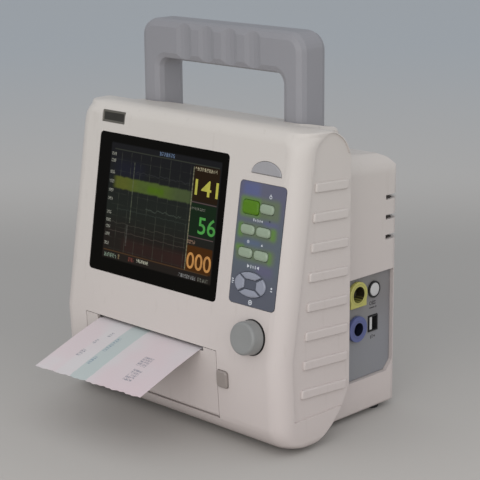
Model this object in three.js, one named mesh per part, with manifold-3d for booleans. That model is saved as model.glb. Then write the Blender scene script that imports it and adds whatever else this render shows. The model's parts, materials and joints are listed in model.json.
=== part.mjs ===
// Fetal heart monitor (cardiotocograph): a bench unit with screen, keys, selector knob, strip recorder,
// transducer sockets and a carrying handle, with the pieces that it holds inside.
// Millimetres, +Z up, +Y to the rear, +X to the right as seen from the front.
// Housing frame: z = 0 on the table, y = 0 where the middle of the screen window meets the front face.
// Face frame: x to the right, y up along the leaning face, z out of it, origin at the window's middle.
// Chin frame: the same for the lower front, which leans the other way, origin on the paper slot's edge.
import * as THREE from 'three';
import { mergeVertices } from 'three/addons/utils/BufferGeometryUtils.js';
import Module from 'manifold-3d';

const wasm = await Module();
wasm.setup();

const degree = Math.PI / 180;

// Clearances
const gap = 0.3;
const overrun = 5;
const mergeTolerance = 0.0005;
const cleanTolerance = 0.004;

// Front housing
const footHeight = 3.5;
const windowMargin = 28.5;
const keypadMargin = 10.25;
const slotToWindow = 33.2;
const browRise = 22;
const wall = 3;
const crownWallShare = 1.6;
const partingY = 63.5;
const faceLean = 9.1 * degree;
const browRadius = 12.2;
const chinUndercut = 3 * degree;
const chinFillet = 20;
const frontCornerRadius = 13.5;
const archDrop = 2;
const archCornerRadius = 26;
const archCornerReach = 17.5;
const archCornerPower = 2.6;
const crownReach = 28;
const rearCornerRadius = 3;
const topEdgeRadius = 1.6;
const bottomEdgeRadius = 5;
const bottomTuckShare = 0.6;
const cornerDepthShare = 0.62;
const rearCornerDepthShare = 0.25;
const heelFrontY = 27;
const heelHeight = 36.5;
const heelBulgeShare = 0.68;
const heelRiseShare = 0.24;
const shoulderDrop = 23.5;
const shoulderStartY = 38;
const shoulderSlope = 1.2;
const shoulderCornerShare = 0.24;
const crestFlat = 1.5;

// Arched side panels with their grip bars
const panelDepth = 1.2;
const panelMargin = 1;
const panelRim = 2.6;
const barRearMargin = 4;
const panelBottomHeight = 26;
const barCount = 8;
const barPitch = 21.1;
const barHeight = 7;
const barProud = 0.6;
const barDrop = 39.8;
const barTopFrontY = 24.3;
const barLineLean = 5.5 * degree;
const barSlope = 4 * degree;
const barCornerRadius = 1.6;

// Rear housing
const rearStep = 18;
const rearY = 140;
const rearTopDrop = 27.5;
const rearTopSlope = 4.3 * degree;
const rearShoulderRadius = 16;
const rearCornerRounding = 9;
const rearHeelRadius = 11;
const rearTopRoundY = 28;
const rearTopRoundHeight = 26;
const rearBottomEdgeRadius = 3;
const openingMargin = 19;
const openingRise = 11.5;
const openingDrop = 29.5;

// Saddle that the handle stands in, split by the parting plane
const saddleSideMargin = 3;
const saddleFrontY = 26;
const saddleRearY = 86;
const saddleHeight = 30;
const saddleFrontDrop = 1.5;
const saddleCrownY = 45;
const saddleCrownDrop = 0.5;
const saddlePartingDrop = 5.1;
const saddleRearDrop = 8;
const saddleRearCornerY = 76;
const saddleTailDrop = 14;
const saddleEdge = 2.5;

// Handle
const handleInset = 16;
const handleDepth = 27.6;
const handleY = 60.7;
const handleLegWidth = 20;
const handleRise = 61.5;
const handleBarHeight = 30.5;
const handleSeatDepth = 19.2;
const handleOuterRadius = 14;
const handleInnerRadius = 7;
const handleEdge = 5.5;
const fluteCount = 4;
const flutePitch = 24;
const fluteRadius = 22;
const fluteDepth = 1.6;

// Screen window and display
const windowWidth = 140;
const windowHeight = 107;
const windowCorner = 3;
const windowThickness = 1.7;
const displayU = 3.5;
const displayV = -1;
const displayMarginU = 6.5;
const displayMarginV = 4.25;
const displayThickness = 6;
const displayBorderU = 4;
const displayBorderV = 4.25;
const bracketThickness = 1.2;
const bracketLip = 8;
const bossRadius = 3.5;
const boardStandoff = 10;
const boardStandoffRadius = 2.5;
const boardMarginU = 1.5;
const boardMarginV = 3.25;
const boardThickness = 1.6;

// Bare plate at the top left of the face
const plateOverhang = 0.1;
const plateRise = 12.1;
const plateWidth = 25.6;
const plateHeight = 8.8;
const plateThickness = 1;
const plateSink = 0.75;
const plateCorner = 0.6;

// Alarm lamp
const lampShift = 1.7;
const lampGap = 6.35;
const lampWidth = 28.6;
const lampHeight = 9.2;
const lampThickness = 4;
const lampProud = 0.8;
const lampEdge = 0.6;

// Keypad
const keypadGap = 13.35;
const keypadV = -6;
const keypadWidth = 43.9;
const keypadHeight = 87.3;
const keypadCorner = 3;
const overlayThickness = 1;
const keyWidth = 13.4;
const keyHeight = 6.8;
const keyCorner = 2.8;
const keyEdge = 0.45;
const keyRise = 0.9;
const keyTravel = 0.8;
const keyFlange = 0.8;
const keyFlangeThickness = 1.2;
const keyStemLength = 0.8;
const capRootShare = 0.9;
const keyRowPitch = 16.5;
const keyFirstRowV = 26.3;
const keyLeftU = -10.4;
const keyPitch = 15.1;
const firstRowShift = 1.3;
const powerKeyWidth = 16;
const powerKeyHeight = 9.8;
const powerKeyU = -9.5;
const powerKeyV = 25.6;
const cursorU = -2.5;
const cursorV = -28.4;
const cursorOuterU = 15;
const cursorOuterV = 8.9;
const cursorInnerU = 7.4;
const cursorInnerV = 4.6;
const cursorSplit = 1.3;
const keyBoardWidth = 40;
const keyBoardMargin = 12;
const domeRadius = 2;
const domeHeight = 0.9;
const keyBoardBossRadius = 2.4;
const keyBoardBossInset = 2.6;

// Selector knob and its encoder
const knobShift = 4;
const knobDrop = 20.85;
const knobRadius = 12.3;
const knobDepth = 11;
const knobTaper = 0.5;
const knobEdge = 1.4;
const knobStandOff = 0.9;
const knobHubDepth = 6;
const knobWall = 1.6;
const encoderWidth = 12.4;
const encoderFront = 1;
const bushingRadius = 4.4;
const bushingLength = 2.6;
const shaftRadius = 3;
const shaftInner = 3.4;
const shaftReach = 8.6;
const plungerLength = 2.4;

// Strip recorder
const recorderShift = 16;
const doorSill = 14.7;
const doorHeight = 52.1;
const doorMargin = 15;
const doorThickness = 3;
const doorBarrelRadius = 3.2;
const doorSeam = 0.5;
const doorPinRadius = 2;
const doorPinLength = 3;
const cheekThickness = 3;
const cheekDepth = 15;
const cheekHeight = 14;
const paperWidth = 112;
const paperThickness = 0.3;
const paperNotchMargin = 3;
const paperNotchDepth = 3.1;
const platenRadius = 6;
const platenOverhang = 1;
const platenShaftRadius = 2;
const platenInset = 10.4;
const platenDrop = 9.3;
const earThickness = 3;
const earRadius = 5;
const earGap = 0.5;
const gearModule = 0.75;
const dedendumShare = 1.25;
const platenTeeth = 16;
const driveTeeth = 12;
const gearWidth = 3;
const gearBacklash = 0.3;
const toothTipShare = 0.26;
const toothRootShare = 0.62;
const headDepth = 9;
const headHeight = 13;
const headRise = 1.2;
const chassisMargin = 10;
const chassisThickness = 1.5;
const packMargin = 2;
const chassisWallHeight = 44;
const chassisFloorHeight = 21.5;
const chassisRise = 12;
const chassisPostDepth = 30;
const chassisSetback = 8.5;
const chassisLegWidth = 8;
const trayMargin = 2.5;
const packDepth = 90;
const packHeight = 20;
const packSetback = 11;
const motorRadius = 10;
const motorLength = 16;
const motorShaftRadius = 1.5;
const paperTipY = -78.5;
const paperTipDrop = 25.7;
const paperTipSkew = 4.8;
const paperBendShare = 0.34;
const paperBendDrop = 6.6;

// Door latch, right of the door
const latchWidth = 10.6;
const latchHeight = 12.8;
const latchDrop = 20.4;
const latchSideGap = 0.4;
const latchProud = 2.2;
const latchCorner = 2.4;
const latchEdge = 0.9;
const latchFlange = 1.5;
const latchStem = 3;

// Connector plate on the right side
const plateFrontY = 67;
const plateRearY = 133;
const plateBottom = 30;
const plateTop = 110;
const plateChamfer = 7;
const plateRecess = 3.2;
const platePad = 9;
const connectorPlateThickness = 2;
const upperSocketHeight = 97.2;
const lowerSocketHeight = 70.4;
const socketY = 93;
const portY = 113;
const socketFlangeRadius = 10;
const socketFlangeThickness = 3;
const socketBodyRadius = 7.6;
const socketDepth = 16;
const yellowBoreRadius = 6.2;
const blueBoreRadius = 5;
const socketBoreDepth = 12;
const socketCoreDrop = 5;
const socketKeyWidth = 18;
const socketKeyDrop = 9.6;
const ringPortRadius = 6.5;
const ringPortRim = 1.1;
const ringPortProud = 1.6;
const dataPortWidth = 10.6;
const dataPortHeight = 12.5;
const dataPortRim = 1;
const dataPortProud = 0.8;
const dataPortDepth = 9;
const dataTongueShare = 0.42;

// Vent slots round the rear corners
const ventDrop = 38.5;
const ventPitch = 15.3;
const ventCount = 3;
const ventHeight = 3.6;
const ventSideReach = 17;
const ventRearReach = 42;

// Power supply, battery, loudspeaker, inlet and earth stud
const supplyWidth = 96;
const supplyHeight = 66;
const supplyDepth = 32;
const supplyInset = 66;
const supplyBase = 70;
const supplyPlate = 1.6;
const batteryWidth = 38;
const batteryDepth = 60;
const batteryHeight = 20;
const batteryGap = 1;
const batteryFrontY = 66;
const coverMargin = 3;
const coverThickness = 2.4;
const speakerRadius = 25;
const speakerDepth = 14;
const speakerY = 98;
const speakerHeight = 110;
const speakerMagnetShare = 0.5;
const grilleCount = 5;
const grillePitch = 7;
const grilleSlot = 2.4;
const grilleLength = 36;
const inletInset = 38;
const inletHeight = 34;
const inletWidth = 30;
const inletTall = 24;
const inletFlange = 2.5;
const inletDepth = 20;
const inletMouthWidth = 24;
const inletMouthHeight = 16.5;
const inletMouthDepth = 16;
const inletPinWidth = 2;
const inletPinHeight = 4;
const inletPinPitch = 7;
const studShift = 34;
const studRadius = 3;
const studLength = 9;
const studCollar = 5;
const studCollarLength = 2.4;

// Feet and case screws
const footRadius = 6.2;
const footSoleRadius = 5.4;
const frontFootInset = 22;
const frontFootY = 18;
const rearFootInset = 9.5;
const rearFootY = 120;
const postInset = 12;
const postLow = 36;
const highPostDrop = 56.5;
const postRadius = 5;
const postBore = 3.4;
const screwHeadRadius = 2.9;
const screwHeadLength = 2.4;
const screwRadius = 1.5;
const screwLength = 14;
const screwSeatDepth = 6;
const pilotRadius = 1.85;

// The recorder is as wide as its paper
const platenLength = paperWidth + 2 * platenOverhang;
const doorWidth = platenLength + 2 * doorMargin;
const chassisHalfWidth = platenLength / 2 + chassisMargin;
const trayHalfWidth = paperWidth / 2 + trayMargin;
const printerX = -recorderShift;

// The front is as wide as its window and keypad, or as the recorder between its screw posts where that is
// wider, and as high as its door, window and brow
const faceWidth = windowMargin + windowWidth + keypadGap + keypadWidth + keypadMargin;
const recorderSide = recorderShift + chassisHalfWidth + postRadius + postInset + rearStep;
const housingWidth = Math.max(faceWidth, 2 * recorderSide);
const halfWidth = housingWidth / 2;
const rearHalfWidth = halfWidth - rearStep;
const rearWidth = 2 * rearHalfWidth;
const doorBottom = footHeight + doorSill;
const slotHeight = doorBottom + doorHeight;
const windowCentreX = windowMargin + windowWidth / 2 - halfWidth;
const windowCentreHeight = slotHeight + slotToWindow + windowHeight / 2;
const crestHeight = windowCentreHeight + windowHeight / 2 + browRise;
const rearTopHeight = crestHeight - rearTopDrop;
const barTopHeight = crestHeight - barDrop;
const openingHalfWidth = rearHalfWidth - openingMargin;
const openingBottom = footHeight + openingRise;
const openingTop = crestHeight - openingDrop;
const saddleBottom = crestHeight - saddleHeight;
const handleWidth = rearWidth - 2 * handleInset;
const handleTopHeight = crestHeight + handleRise;
const handleFootHeight = crestHeight - handleSeatDepth;
const ventTopHeight = rearTopHeight - ventDrop;

// Places on the face that follow from the window and the keypad
const displayWidth = windowWidth - 2 * displayMarginU;
const displayHeight = windowHeight - 2 * displayMarginV;
const apertureWidth = displayWidth - 2 * displayBorderU;
const apertureHeight = displayHeight - 2 * displayBorderV;
const mainBoardWidth = displayWidth - 2 * boardMarginU;
const mainBoardHeight = displayHeight - 2 * boardMarginV;
const plateU = (plateWidth - windowWidth) / 2 - plateOverhang;
const plateV = windowHeight / 2 + plateRise;
const keypadU = windowWidth / 2 + keypadGap + keypadWidth / 2;
const lampU = keypadU + lampShift;
const lampBaseV = keypadV + keypadHeight / 2 + lampGap;
const knobU = keypadU + knobShift;
const knobV = keypadV - keypadHeight / 2 - knobDrop;

// The platen lies just under the slot
const slotY = -(windowCentreHeight - slotHeight) * Math.tan(faceLean);
const platenY = slotY + platenInset;
const platenHeight = slotHeight - platenDrop;
const chassisFrontY = platenY + chassisSetback;
const packFrontY = chassisFrontY + packSetback;
const chassisRearY = packFrontY + packDepth + packMargin;
const chassisTopHeight = platenHeight + chassisRise;
const paperTipHeight = slotHeight - paperTipDrop;

// Places inside and below the casing
const supplyX = supplyInset - rearHalfWidth;
const batteryX = printerX + trayHalfWidth + batteryGap + batteryWidth / 2;
const inletX = inletInset - rearHalfWidth;
const studX = inletX + studShift;
const frontFootX = halfWidth - frontFootInset;
const rearFootX = rearHalfWidth - rearFootInset;
const postX = rearHalfWidth - postInset;
const postHigh = crestHeight - highPostDrop;

// Other values that follow
const frontRearFace = partingY - gap / 2;
const rearFrontFace = partingY + gap / 2;
const wallBack = -wall;
const keyWell = wallBack - gap;
const heelTop = footHeight + heelHeight;
const heelGapShare = 1.5;
const heelGap = gap * heelGapShare;
const archHeight = crestHeight - archDrop;
const keyBoardFront = keyWell - keyFlangeThickness - keyStemLength - keyTravel - gap - domeHeight;
const platenPaperRadius = platenRadius + gap + paperThickness / 2;
const paperExitHeight = platenHeight + platenPaperRadius;
const rearMostY = rearY + studLength;

// Solids from three.js geometry
function solidFrom(geometry, matrix) {
  const plain = geometry.index ? geometry.toNonIndexed() : geometry.clone();
  const bare = new THREE.BufferGeometry();
  bare.setAttribute('position', plain.getAttribute('position'));
  if (matrix) {
    bare.applyMatrix4(matrix);
  }
  const merged = mergeVertices(bare, mergeTolerance);
  return new wasm.Manifold(new wasm.Mesh({
    numProp: 3,
    vertProperties: merged.attributes.position.array,
    triVerts: new Uint32Array(merged.index.array),
  }));
}

function geometryFrom(solid) {
  const mesh = solid.asOriginal().simplify(cleanTolerance).getMesh();
  const geometry = new THREE.BufferGeometry();
  geometry.setAttribute('position', new THREE.BufferAttribute(mesh.vertProperties, 3));
  geometry.setIndex(new THREE.BufferAttribute(mesh.triVerts, 1));
  const flat = geometry.toNonIndexed();
  flat.computeVertexNormals();
  return flat;
}

function join(solids) {
  return solids.reduce((whole, next) => whole.add(next));
}

function cut(solid, tools) {
  return tools.reduce((rest, tool) => rest.subtract(tool), solid);
}

// Frames as matrices: an outline drawn in local x and y is raised along local z
const sideFrame = new THREE.Matrix4().makeBasis(
  new THREE.Vector3(0, 1, 0),
  new THREE.Vector3(0, 0, 1),
  new THREE.Vector3(1, 0, 0),
);
const frontFrame = new THREE.Matrix4().makeRotationX(90 * degree);
const faceFrame = new THREE.Matrix4().makeRotationX(90 * degree - faceLean);
faceFrame.setPosition(windowCentreX, 0, windowCentreHeight);
const chinFrame = new THREE.Matrix4().makeRotationX(90 * degree + chinUndercut);
chinFrame.setPosition(printerX, slotY, slotHeight);

// A prism between two levels of its frame, with an optional bevel on both ends
function prism(shape, low, high, { bevel = 0, frame = null, steps = 6, bevelSteps = 1 } = {}) {
  const geometry = new THREE.ExtrudeGeometry(shape, {
    depth: high - low - 2 * bevel,
    bevelEnabled: bevel > 0,
    bevelThickness: bevel,
    bevelSize: bevel,
    bevelOffset: -bevel,
    bevelSegments: bevelSteps,
    curveSegments: steps,
    steps: 1,
  });
  geometry.translate(0, 0, low + bevel);
  return solidFrom(geometry, frame);
}

function block(x0, x1, y0, y1, z0, z1, frame = null) {
  const geometry = new THREE.BoxGeometry(x1 - x0, y1 - y0, z1 - z0);
  geometry.translate((x0 + x1) / 2, (y0 + y1) / 2, (z0 + z1) / 2);
  return solidFrom(geometry, frame);
}

// A round bar along the frame's z axis
function rod(x, y, low, high, radius, { frame = null, steps = 20, topRadius = radius } = {}) {
  const geometry = new THREE.CylinderGeometry(topRadius, radius, high - low, steps);
  geometry.rotateX(90 * degree);
  geometry.translate(x, y, (low + high) / 2);
  return solidFrom(geometry, frame);
}

// A turned piece about the frame's z axis, from [radius, level] pairs
function turned(profile, { x = 0, y = 0, steps = 24, frame = null } = {}) {
  const points = profile.map(([radius, level]) => new THREE.Vector2(radius, level));
  const geometry = new THREE.LatheGeometry(points, steps);
  geometry.rotateX(90 * degree);
  geometry.translate(x, y, 0);
  return solidFrom(geometry, frame);
}

function roundedRect(width, height, radius, x = 0, y = 0) {
  const shape = new THREE.Shape();
  const right = width / 2 - radius;
  const top = height / 2 - radius;
  shape.absarc(x + right, y - top, radius, -90 * degree, 0, false);
  shape.absarc(x + right, y + top, radius, 0, 90 * degree, false);
  shape.absarc(x - right, y + top, radius, 90 * degree, 180 * degree, false);
  shape.absarc(x - right, y - top, radius, 180 * degree, 270 * degree, false);
  return shape;
}

function polygon(points) {
  return new THREE.Shape(points.map(([x, y]) => new THREE.Vector2(x, y)));
}

// A closed skin through level rings that hold the same number of points
function loft(rings) {
  const corners = [];
  const push = (...points) => points.forEach((point) => corners.push(point.x, point.y, point.z));
  const count = rings[0].length;
  for (let level = 1; level < rings.length; level += 1) {
    const low = rings[level - 1];
    const high = rings[level];
    for (let i = 0; i < count; i += 1) {
      const next = (i + 1) % count;
      push(low[i], low[next], high[next]);
      push(low[i], high[next], high[i]);
    }
  }
  const bottom = rings[0];
  const top = rings[rings.length - 1];
  for (let i = 1; i < count - 1; i += 1) {
    push(bottom[0], bottom[i + 1], bottom[i]);
    push(top[0], top[i], top[i + 1]);
  }
  const geometry = new THREE.BufferGeometry();
  geometry.setAttribute('position', new THREE.Float32BufferAttribute(corners, 3));
  return solidFrom(geometry);
}

// Side profile of the front housing as [y, z] points, from the bottom to the crest
function arcPoints(centreY, centreZ, radius, from, to, steps) {
  const points = [];
  for (let i = 0; i <= steps; i += 1) {
    const angle = from + ((to - from) * i) / steps;
    points.push([centreY - radius * Math.cos(angle), centreZ + radius * Math.sin(angle)]);
  }
  return points;
}

function curvePoints(start, middle, end, steps) {
  const curve = new THREE.QuadraticBezierCurve(
    new THREE.Vector2(...start),
    new THREE.Vector2(...middle),
    new THREE.Vector2(...end),
  );
  return curve.getPoints(steps).map((point) => [point.x, point.y]);
}

function chinY(height) {
  return slotY + (slotHeight - height) * Math.tan(chinUndercut);
}

const browCentreHeight = crestHeight - browRadius;
const browStartHeight = browCentreHeight + browRadius * Math.sin(faceLean);
const browStartY = (browStartHeight - windowCentreHeight) * Math.tan(faceLean);
const browCentreY = browStartY + browRadius * Math.cos(faceLean);
const filletHeight = footHeight + chinFillet;
const filletY = chinY(filletHeight) + chinFillet / Math.cos(chinUndercut);
const heelControl = [
  heelFrontY + (frontRearFace - heelFrontY) * heelBulgeShare,
  footHeight + heelHeight * heelRiseShare,
];

const frontProfile = [
  ...arcPoints(filletY, filletHeight, chinFillet, -90 * degree, -chinUndercut, 6),
  [slotY, slotHeight],
  ...arcPoints(browCentreY, browCentreHeight, browRadius, faceLean, 90 * degree, 6),
];
const heelProfile = curvePoints(
  [heelFrontY, footHeight],
  heelControl,
  [frontRearFace, footHeight + heelHeight],
  5,
);
const shoulderTop = [shoulderStartY, crestHeight - shoulderSlope];
const shoulderCorner = [
  frontRearFace - (frontRearFace - shoulderStartY) * shoulderCornerShare / 2,
  crestHeight - shoulderDrop * shoulderCornerShare,
];
const rearProfile = [
  ...heelProfile,
  ...curvePoints([frontRearFace, crestHeight - shoulderDrop], shoulderCorner, shoulderTop, 6),
  [browCentreY + crestFlat, crestHeight],
];

function yAt(profile, height) {
  const above = profile.findIndex(([, z]) => z >= height);
  if (above <= 0) {
    return above < 0 ? profile[profile.length - 1][0] : profile[0][0];
  }
  const [y0, z0] = profile[above - 1];
  const [y1, z1] = profile[above];
  return y0 + ((y1 - y0) * (height - z0)) / (z1 - z0);
}

// The vertical corners widen towards the arch that tops each side
function cornerRadiusAt(height) {
  const rise = THREE.MathUtils.clamp((height - archHeight + archCornerReach) / archCornerReach, 0, 1);
  return frontCornerRadius + (archCornerRadius - frontCornerRadius) * rise ** archCornerPower;
}

// Half the width at a height: full on the sides, then in over the crown between the two arches
function halfWidthAt(height) {
  const intoTop = THREE.MathUtils.clamp(height - archHeight + topEdgeRadius, 0, topEdgeRadius);
  const intoBottom = Math.max(footHeight + bottomEdgeRadius - height, 0);
  const topInset = topEdgeRadius - Math.sqrt(topEdgeRadius ** 2 - intoTop ** 2);
  const bottomInset = bottomEdgeRadius - Math.sqrt(bottomEdgeRadius ** 2 - intoBottom ** 2);
  const crownShare = Math.min((crestHeight - height) / archDrop, 1);
  const crownInset = crownReach * (1 - Math.sqrt(crownShare));
  return halfWidth - topInset - bottomInset * bottomTuckShare - crownInset;
}

function planRing(height, front, rear, half, cornerSteps, cornerInset = 0) {
  const depth = rear - front;
  const frontRadius = Math.min(cornerRadiusAt(height) - cornerInset, depth * cornerDepthShare);
  const rearRadius = Math.min(rearCornerRadius, depth * rearCornerDepthShare);
  const corners = [
    [half - rearRadius, rear - rearRadius, rearRadius, 2],
    [rearRadius - half, rear - rearRadius, rearRadius, 2],
    [frontRadius - half, front + frontRadius, frontRadius, cornerSteps],
    [half - frontRadius, front + frontRadius, frontRadius, cornerSteps],
  ];
  return corners.flatMap(([x, y, radius, steps], quarter) => {
    const points = [];
    for (let i = 0; i <= steps; i += 1) {
      const angle = (quarter + i / steps) * 90 * degree;
      points.push(new THREE.Vector3(x + radius * Math.cos(angle), y + radius * Math.sin(angle), height));
    }
    return points;
  });
}

function housingLevels(low, high, least) {
  const heights = [...frontProfile, ...rearProfile].map(([, z]) => z);
  const edges = [
    archHeight,
    archHeight - topEdgeRadius / 2,
    archHeight - archCornerReach / 4,
    archHeight - archCornerReach / 2,
    archHeight - archCornerReach,
    footHeight + bottomEdgeRadius / 3,
    footHeight + bottomEdgeRadius,
  ];
  const inside = [...heights, ...edges].filter((z) => z > low + least && z < high - least);
  const sorted = [low, ...inside.sort((a, b) => a - b), high];
  return sorted.filter((z, i) => i === 0 || i === sorted.length - 1 || z - sorted[i - 1] > least);
}

function frontShellSolid() {
  const levels = housingLevels(footHeight, crestHeight, browRadius / 40);
  return loft(levels.map((z) => planRing(
    z,
    yAt(frontProfile, z),
    yAt(rearProfile, z),
    halfWidthAt(z),
    5,
  )));
}

function frontCavitySolid() {
  const low = footHeight + wall;
  const high = crestHeight - wall * crownWallShare;
  const half = halfWidth - wall - panelDepth;
  const rings = housingLevels(low, high, browRadius / 8).map((z) => planRing(
    z,
    yAt(frontProfile, z) + wall,
    yAt(rearProfile, z) - wall,
    half,
    3,
    wall,
  ));
  return loft(rings);
}

// Arched recess of one side, side = 1 for the right and -1 for the left
function sideRecess(side) {
  const levels = [];
  const steps = 9;
  const top = archHeight - topEdgeRadius;
  const start = archHeight - archCornerReach;
  levels.push(panelBottomHeight, slotHeight);
  for (let i = 0; i <= steps; i += 1) {
    levels.push(start + ((top - start) * i) / steps);
  }
  const frontEdge = [];
  const rearEdge = [
    [partingY + overrun, panelBottomHeight],
    [partingY + overrun, crestHeight - shoulderDrop - panelRim],
  ];
  for (const z of levels) {
    const front = yAt(frontProfile, z) + cornerRadiusAt(z) + panelMargin;
    const rear = yAt(rearProfile, z) - panelRim;
    if (rear - front > panelMargin) {
      frontEdge.unshift([front, z]);
      if (z >= start) {
        rearEdge.push([rear, z]);
      }
    }
  }
  return sidePrism(polygon([...rearEdge, ...frontEdge]), side, -panelDepth, overrun);
}

// A prism on one side face of the front housing, levels counted outwards from that face
function sidePrism(shape, side, from, to, bevel = 0) {
  const low = side > 0 ? halfWidth + from : -halfWidth - to;
  const high = side > 0 ? halfWidth + to : -halfWidth - from;
  return prism(shape, low, high, { frame: sideFrame, bevel, steps: 3 });
}

function gripBars(side) {
  const rearEnd = frontRearFace - barRearMargin;
  const bars = [];
  for (let i = 0; i < barCount; i += 1) {
    const height = barTopHeight - i * barPitch;
    const frontEnd = barTopFrontY - i * barPitch * Math.tan(barLineLean);
    const rearHere = Math.min(rearEnd, yAt(rearProfile, height - barHeight) - barRearMargin);
    const length = rearHere - frontEnd;
    const outline = roundedRect(length, barHeight, barCornerRadius);
    const place = new THREE.Matrix4().makeRotationX(-barSlope);
    place.setPosition(0, (frontEnd + rearHere) / 2, height - (length / 2) * Math.tan(barSlope));
    const bar = new THREE.Matrix4().multiplyMatrices(place, sideFrame);
    const root = halfWidth - 2 * panelDepth;
    const low = side > 0 ? root : -halfWidth - barProud;
    const high = side > 0 ? halfWidth + barProud : -root;
    bars.push(prism(outline, low, high, { frame: bar, steps: 1 }));
  }
  return bars;
}

// The saddle under the handle, as one solid that both housings share
const saddleHalfWidth = handleWidth / 2 + saddleSideMargin;

function saddleSolid() {
  const shape = new THREE.Shape();
  shape.moveTo(saddleFrontY, saddleBottom);
  shape.lineTo(saddleRearY, saddleBottom);
  shape.lineTo(saddleRearY, crestHeight - saddleTailDrop);
  shape.quadraticCurveTo(
    saddleRearY,
    crestHeight - saddleRearDrop,
    saddleRearCornerY,
    crestHeight - saddleRearDrop,
  );
  shape.lineTo(partingY, crestHeight - saddlePartingDrop);
  shape.quadraticCurveTo(
    saddleCrownY,
    crestHeight - saddleCrownDrop,
    saddleFrontY,
    crestHeight - saddleFrontDrop,
  );
  return prism(
    shape,
    -saddleHalfWidth,
    saddleHalfWidth,
    { frame: sideFrame, bevel: saddleEdge, steps: 5 },
  );
}

function saddleHalf(front) {
  const reach = saddleRearY - saddleFrontY;
  const half = saddleHalfWidth + overrun;
  const y0 = front ? partingY - reach : rearFrontFace;
  const y1 = front ? frontRearFace : partingY + reach;
  return saddleSolid().intersect(block(-half, half, y0, y1, saddleBottom - overrun, crestHeight));
}

function handleSockets() {
  const centre = (handleWidth - handleLegWidth) / 2;
  const width = handleLegWidth + 2 * gap;
  const depth = handleDepth + 2 * gap;
  return [-1, 1].map((side) => prism(
    roundedRect(width, depth, handleEdge, side * centre, handleY),
    handleFootHeight - gap,
    crestHeight + overrun,
    { steps: 2 },
  ));
}

// Outlines used by both the housing and the piece that sits in it
function lampShape(grow) {
  const shape = new THREE.Shape();
  const half = lampWidth / 2 + grow;
  shape.moveTo(lampU - half, lampBaseV - grow);
  shape.lineTo(lampU + half, lampBaseV - grow);
  shape.absellipse(lampU, lampBaseV, half, lampHeight + grow, 0, 180 * degree, false, 0);
  return shape;
}

function keyPlaces() {
  const places = [{
    name: 'power_key',
    u: keypadU + powerKeyU,
    v: keypadV + powerKeyV,
    width: powerKeyWidth,
    height: powerKeyHeight,
  }];
  for (let row = 0; row < 3; row += 1) {
    for (let column = 0; column < 2; column += 1) {
      if (row > 0 || column > 0) {
        places.push({
          name: `function_key_${places.length}`,
          u: keypadU + keyLeftU + column * keyPitch + (row === 0 ? firstRowShift : 0),
          v: keypadV + keyFirstRowV - row * keyRowPitch,
          width: keyWidth,
          height: keyHeight,
        });
      }
    }
  }
  return places;
}

function keyOutline(place, grow) {
  return roundedRect(place.width + 2 * grow, place.height + 2 * grow, keyCorner, place.u, place.v);
}

// One quarter of the cursor ring: quarter 0 is the right key, then top, left and bottom
function cursorOutline(quarter, grow) {
  const middle = quarter * 90 * degree;
  const centreU = keypadU + cursorU;
  const centreV = keypadV + cursorV;
  const shape = new THREE.Shape();
  const outerU = cursorOuterU + grow;
  const outerV = cursorOuterV + grow;
  const innerU = cursorInnerU - grow;
  const innerV = cursorInnerV - grow;
  const spread = (radiusU) => 45 * degree - (cursorSplit / 2 - grow) / (radiusU * Math.SQRT1_2);
  const steps = 5;
  for (let i = 0; i <= steps; i += 1) {
    const angle = middle + spread(outerU) * ((2 * i) / steps - 1);
    const point = [centreU + outerU * Math.cos(angle), centreV + outerV * Math.sin(angle)];
    if (i === 0) {
      shape.moveTo(...point);
    } else {
      shape.lineTo(...point);
    }
  }
  for (const sign of [1, -1]) {
    const angle = middle + spread(innerU) * sign;
    shape.lineTo(centreU + innerU * Math.cos(angle), centreV + innerV * Math.sin(angle));
  }
  return shape;
}

const cursorNames = ['cursor_right_key', 'cursor_up_key', 'cursor_left_key', 'cursor_down_key'];
const keyBoardTop = lampBaseV + lampHeight / 2;
const keyBoardBottom = knobV - keyBoardMargin;

function keyBoardBosses() {
  const u = keyBoardWidth / 2 - keyBoardBossInset;
  const corners = [
    [-u, keypadV + keypadHeight / 2 - keyBoardBossInset],
    [u, keypadV + keypadHeight / 2 - keyBoardBossInset],
    [-u, keyBoardBottom + keyBoardBossInset],
    [u, keyBoardBottom + keyBoardBossInset],
  ];
  return corners.map(([x, y]) => rod(
    keypadU + x,
    y,
    keyBoardFront + gap,
    wallBack + gap,
    keyBoardBossRadius,
    { frame: faceFrame, steps: 8 },
  ));
}

const bracketBack = wallBack - gap - displayThickness - gap;
const bracketU = displayWidth / 2 + bossRadius + gap;
const bracketV = displayHeight / 2 - bossRadius;

function bracketCorners() {
  return [[-1, -1], [-1, 1], [1, -1], [1, 1]].map(([x, y]) => [
    displayU + x * bracketU,
    displayV + y * bracketV,
  ]);
}

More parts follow.
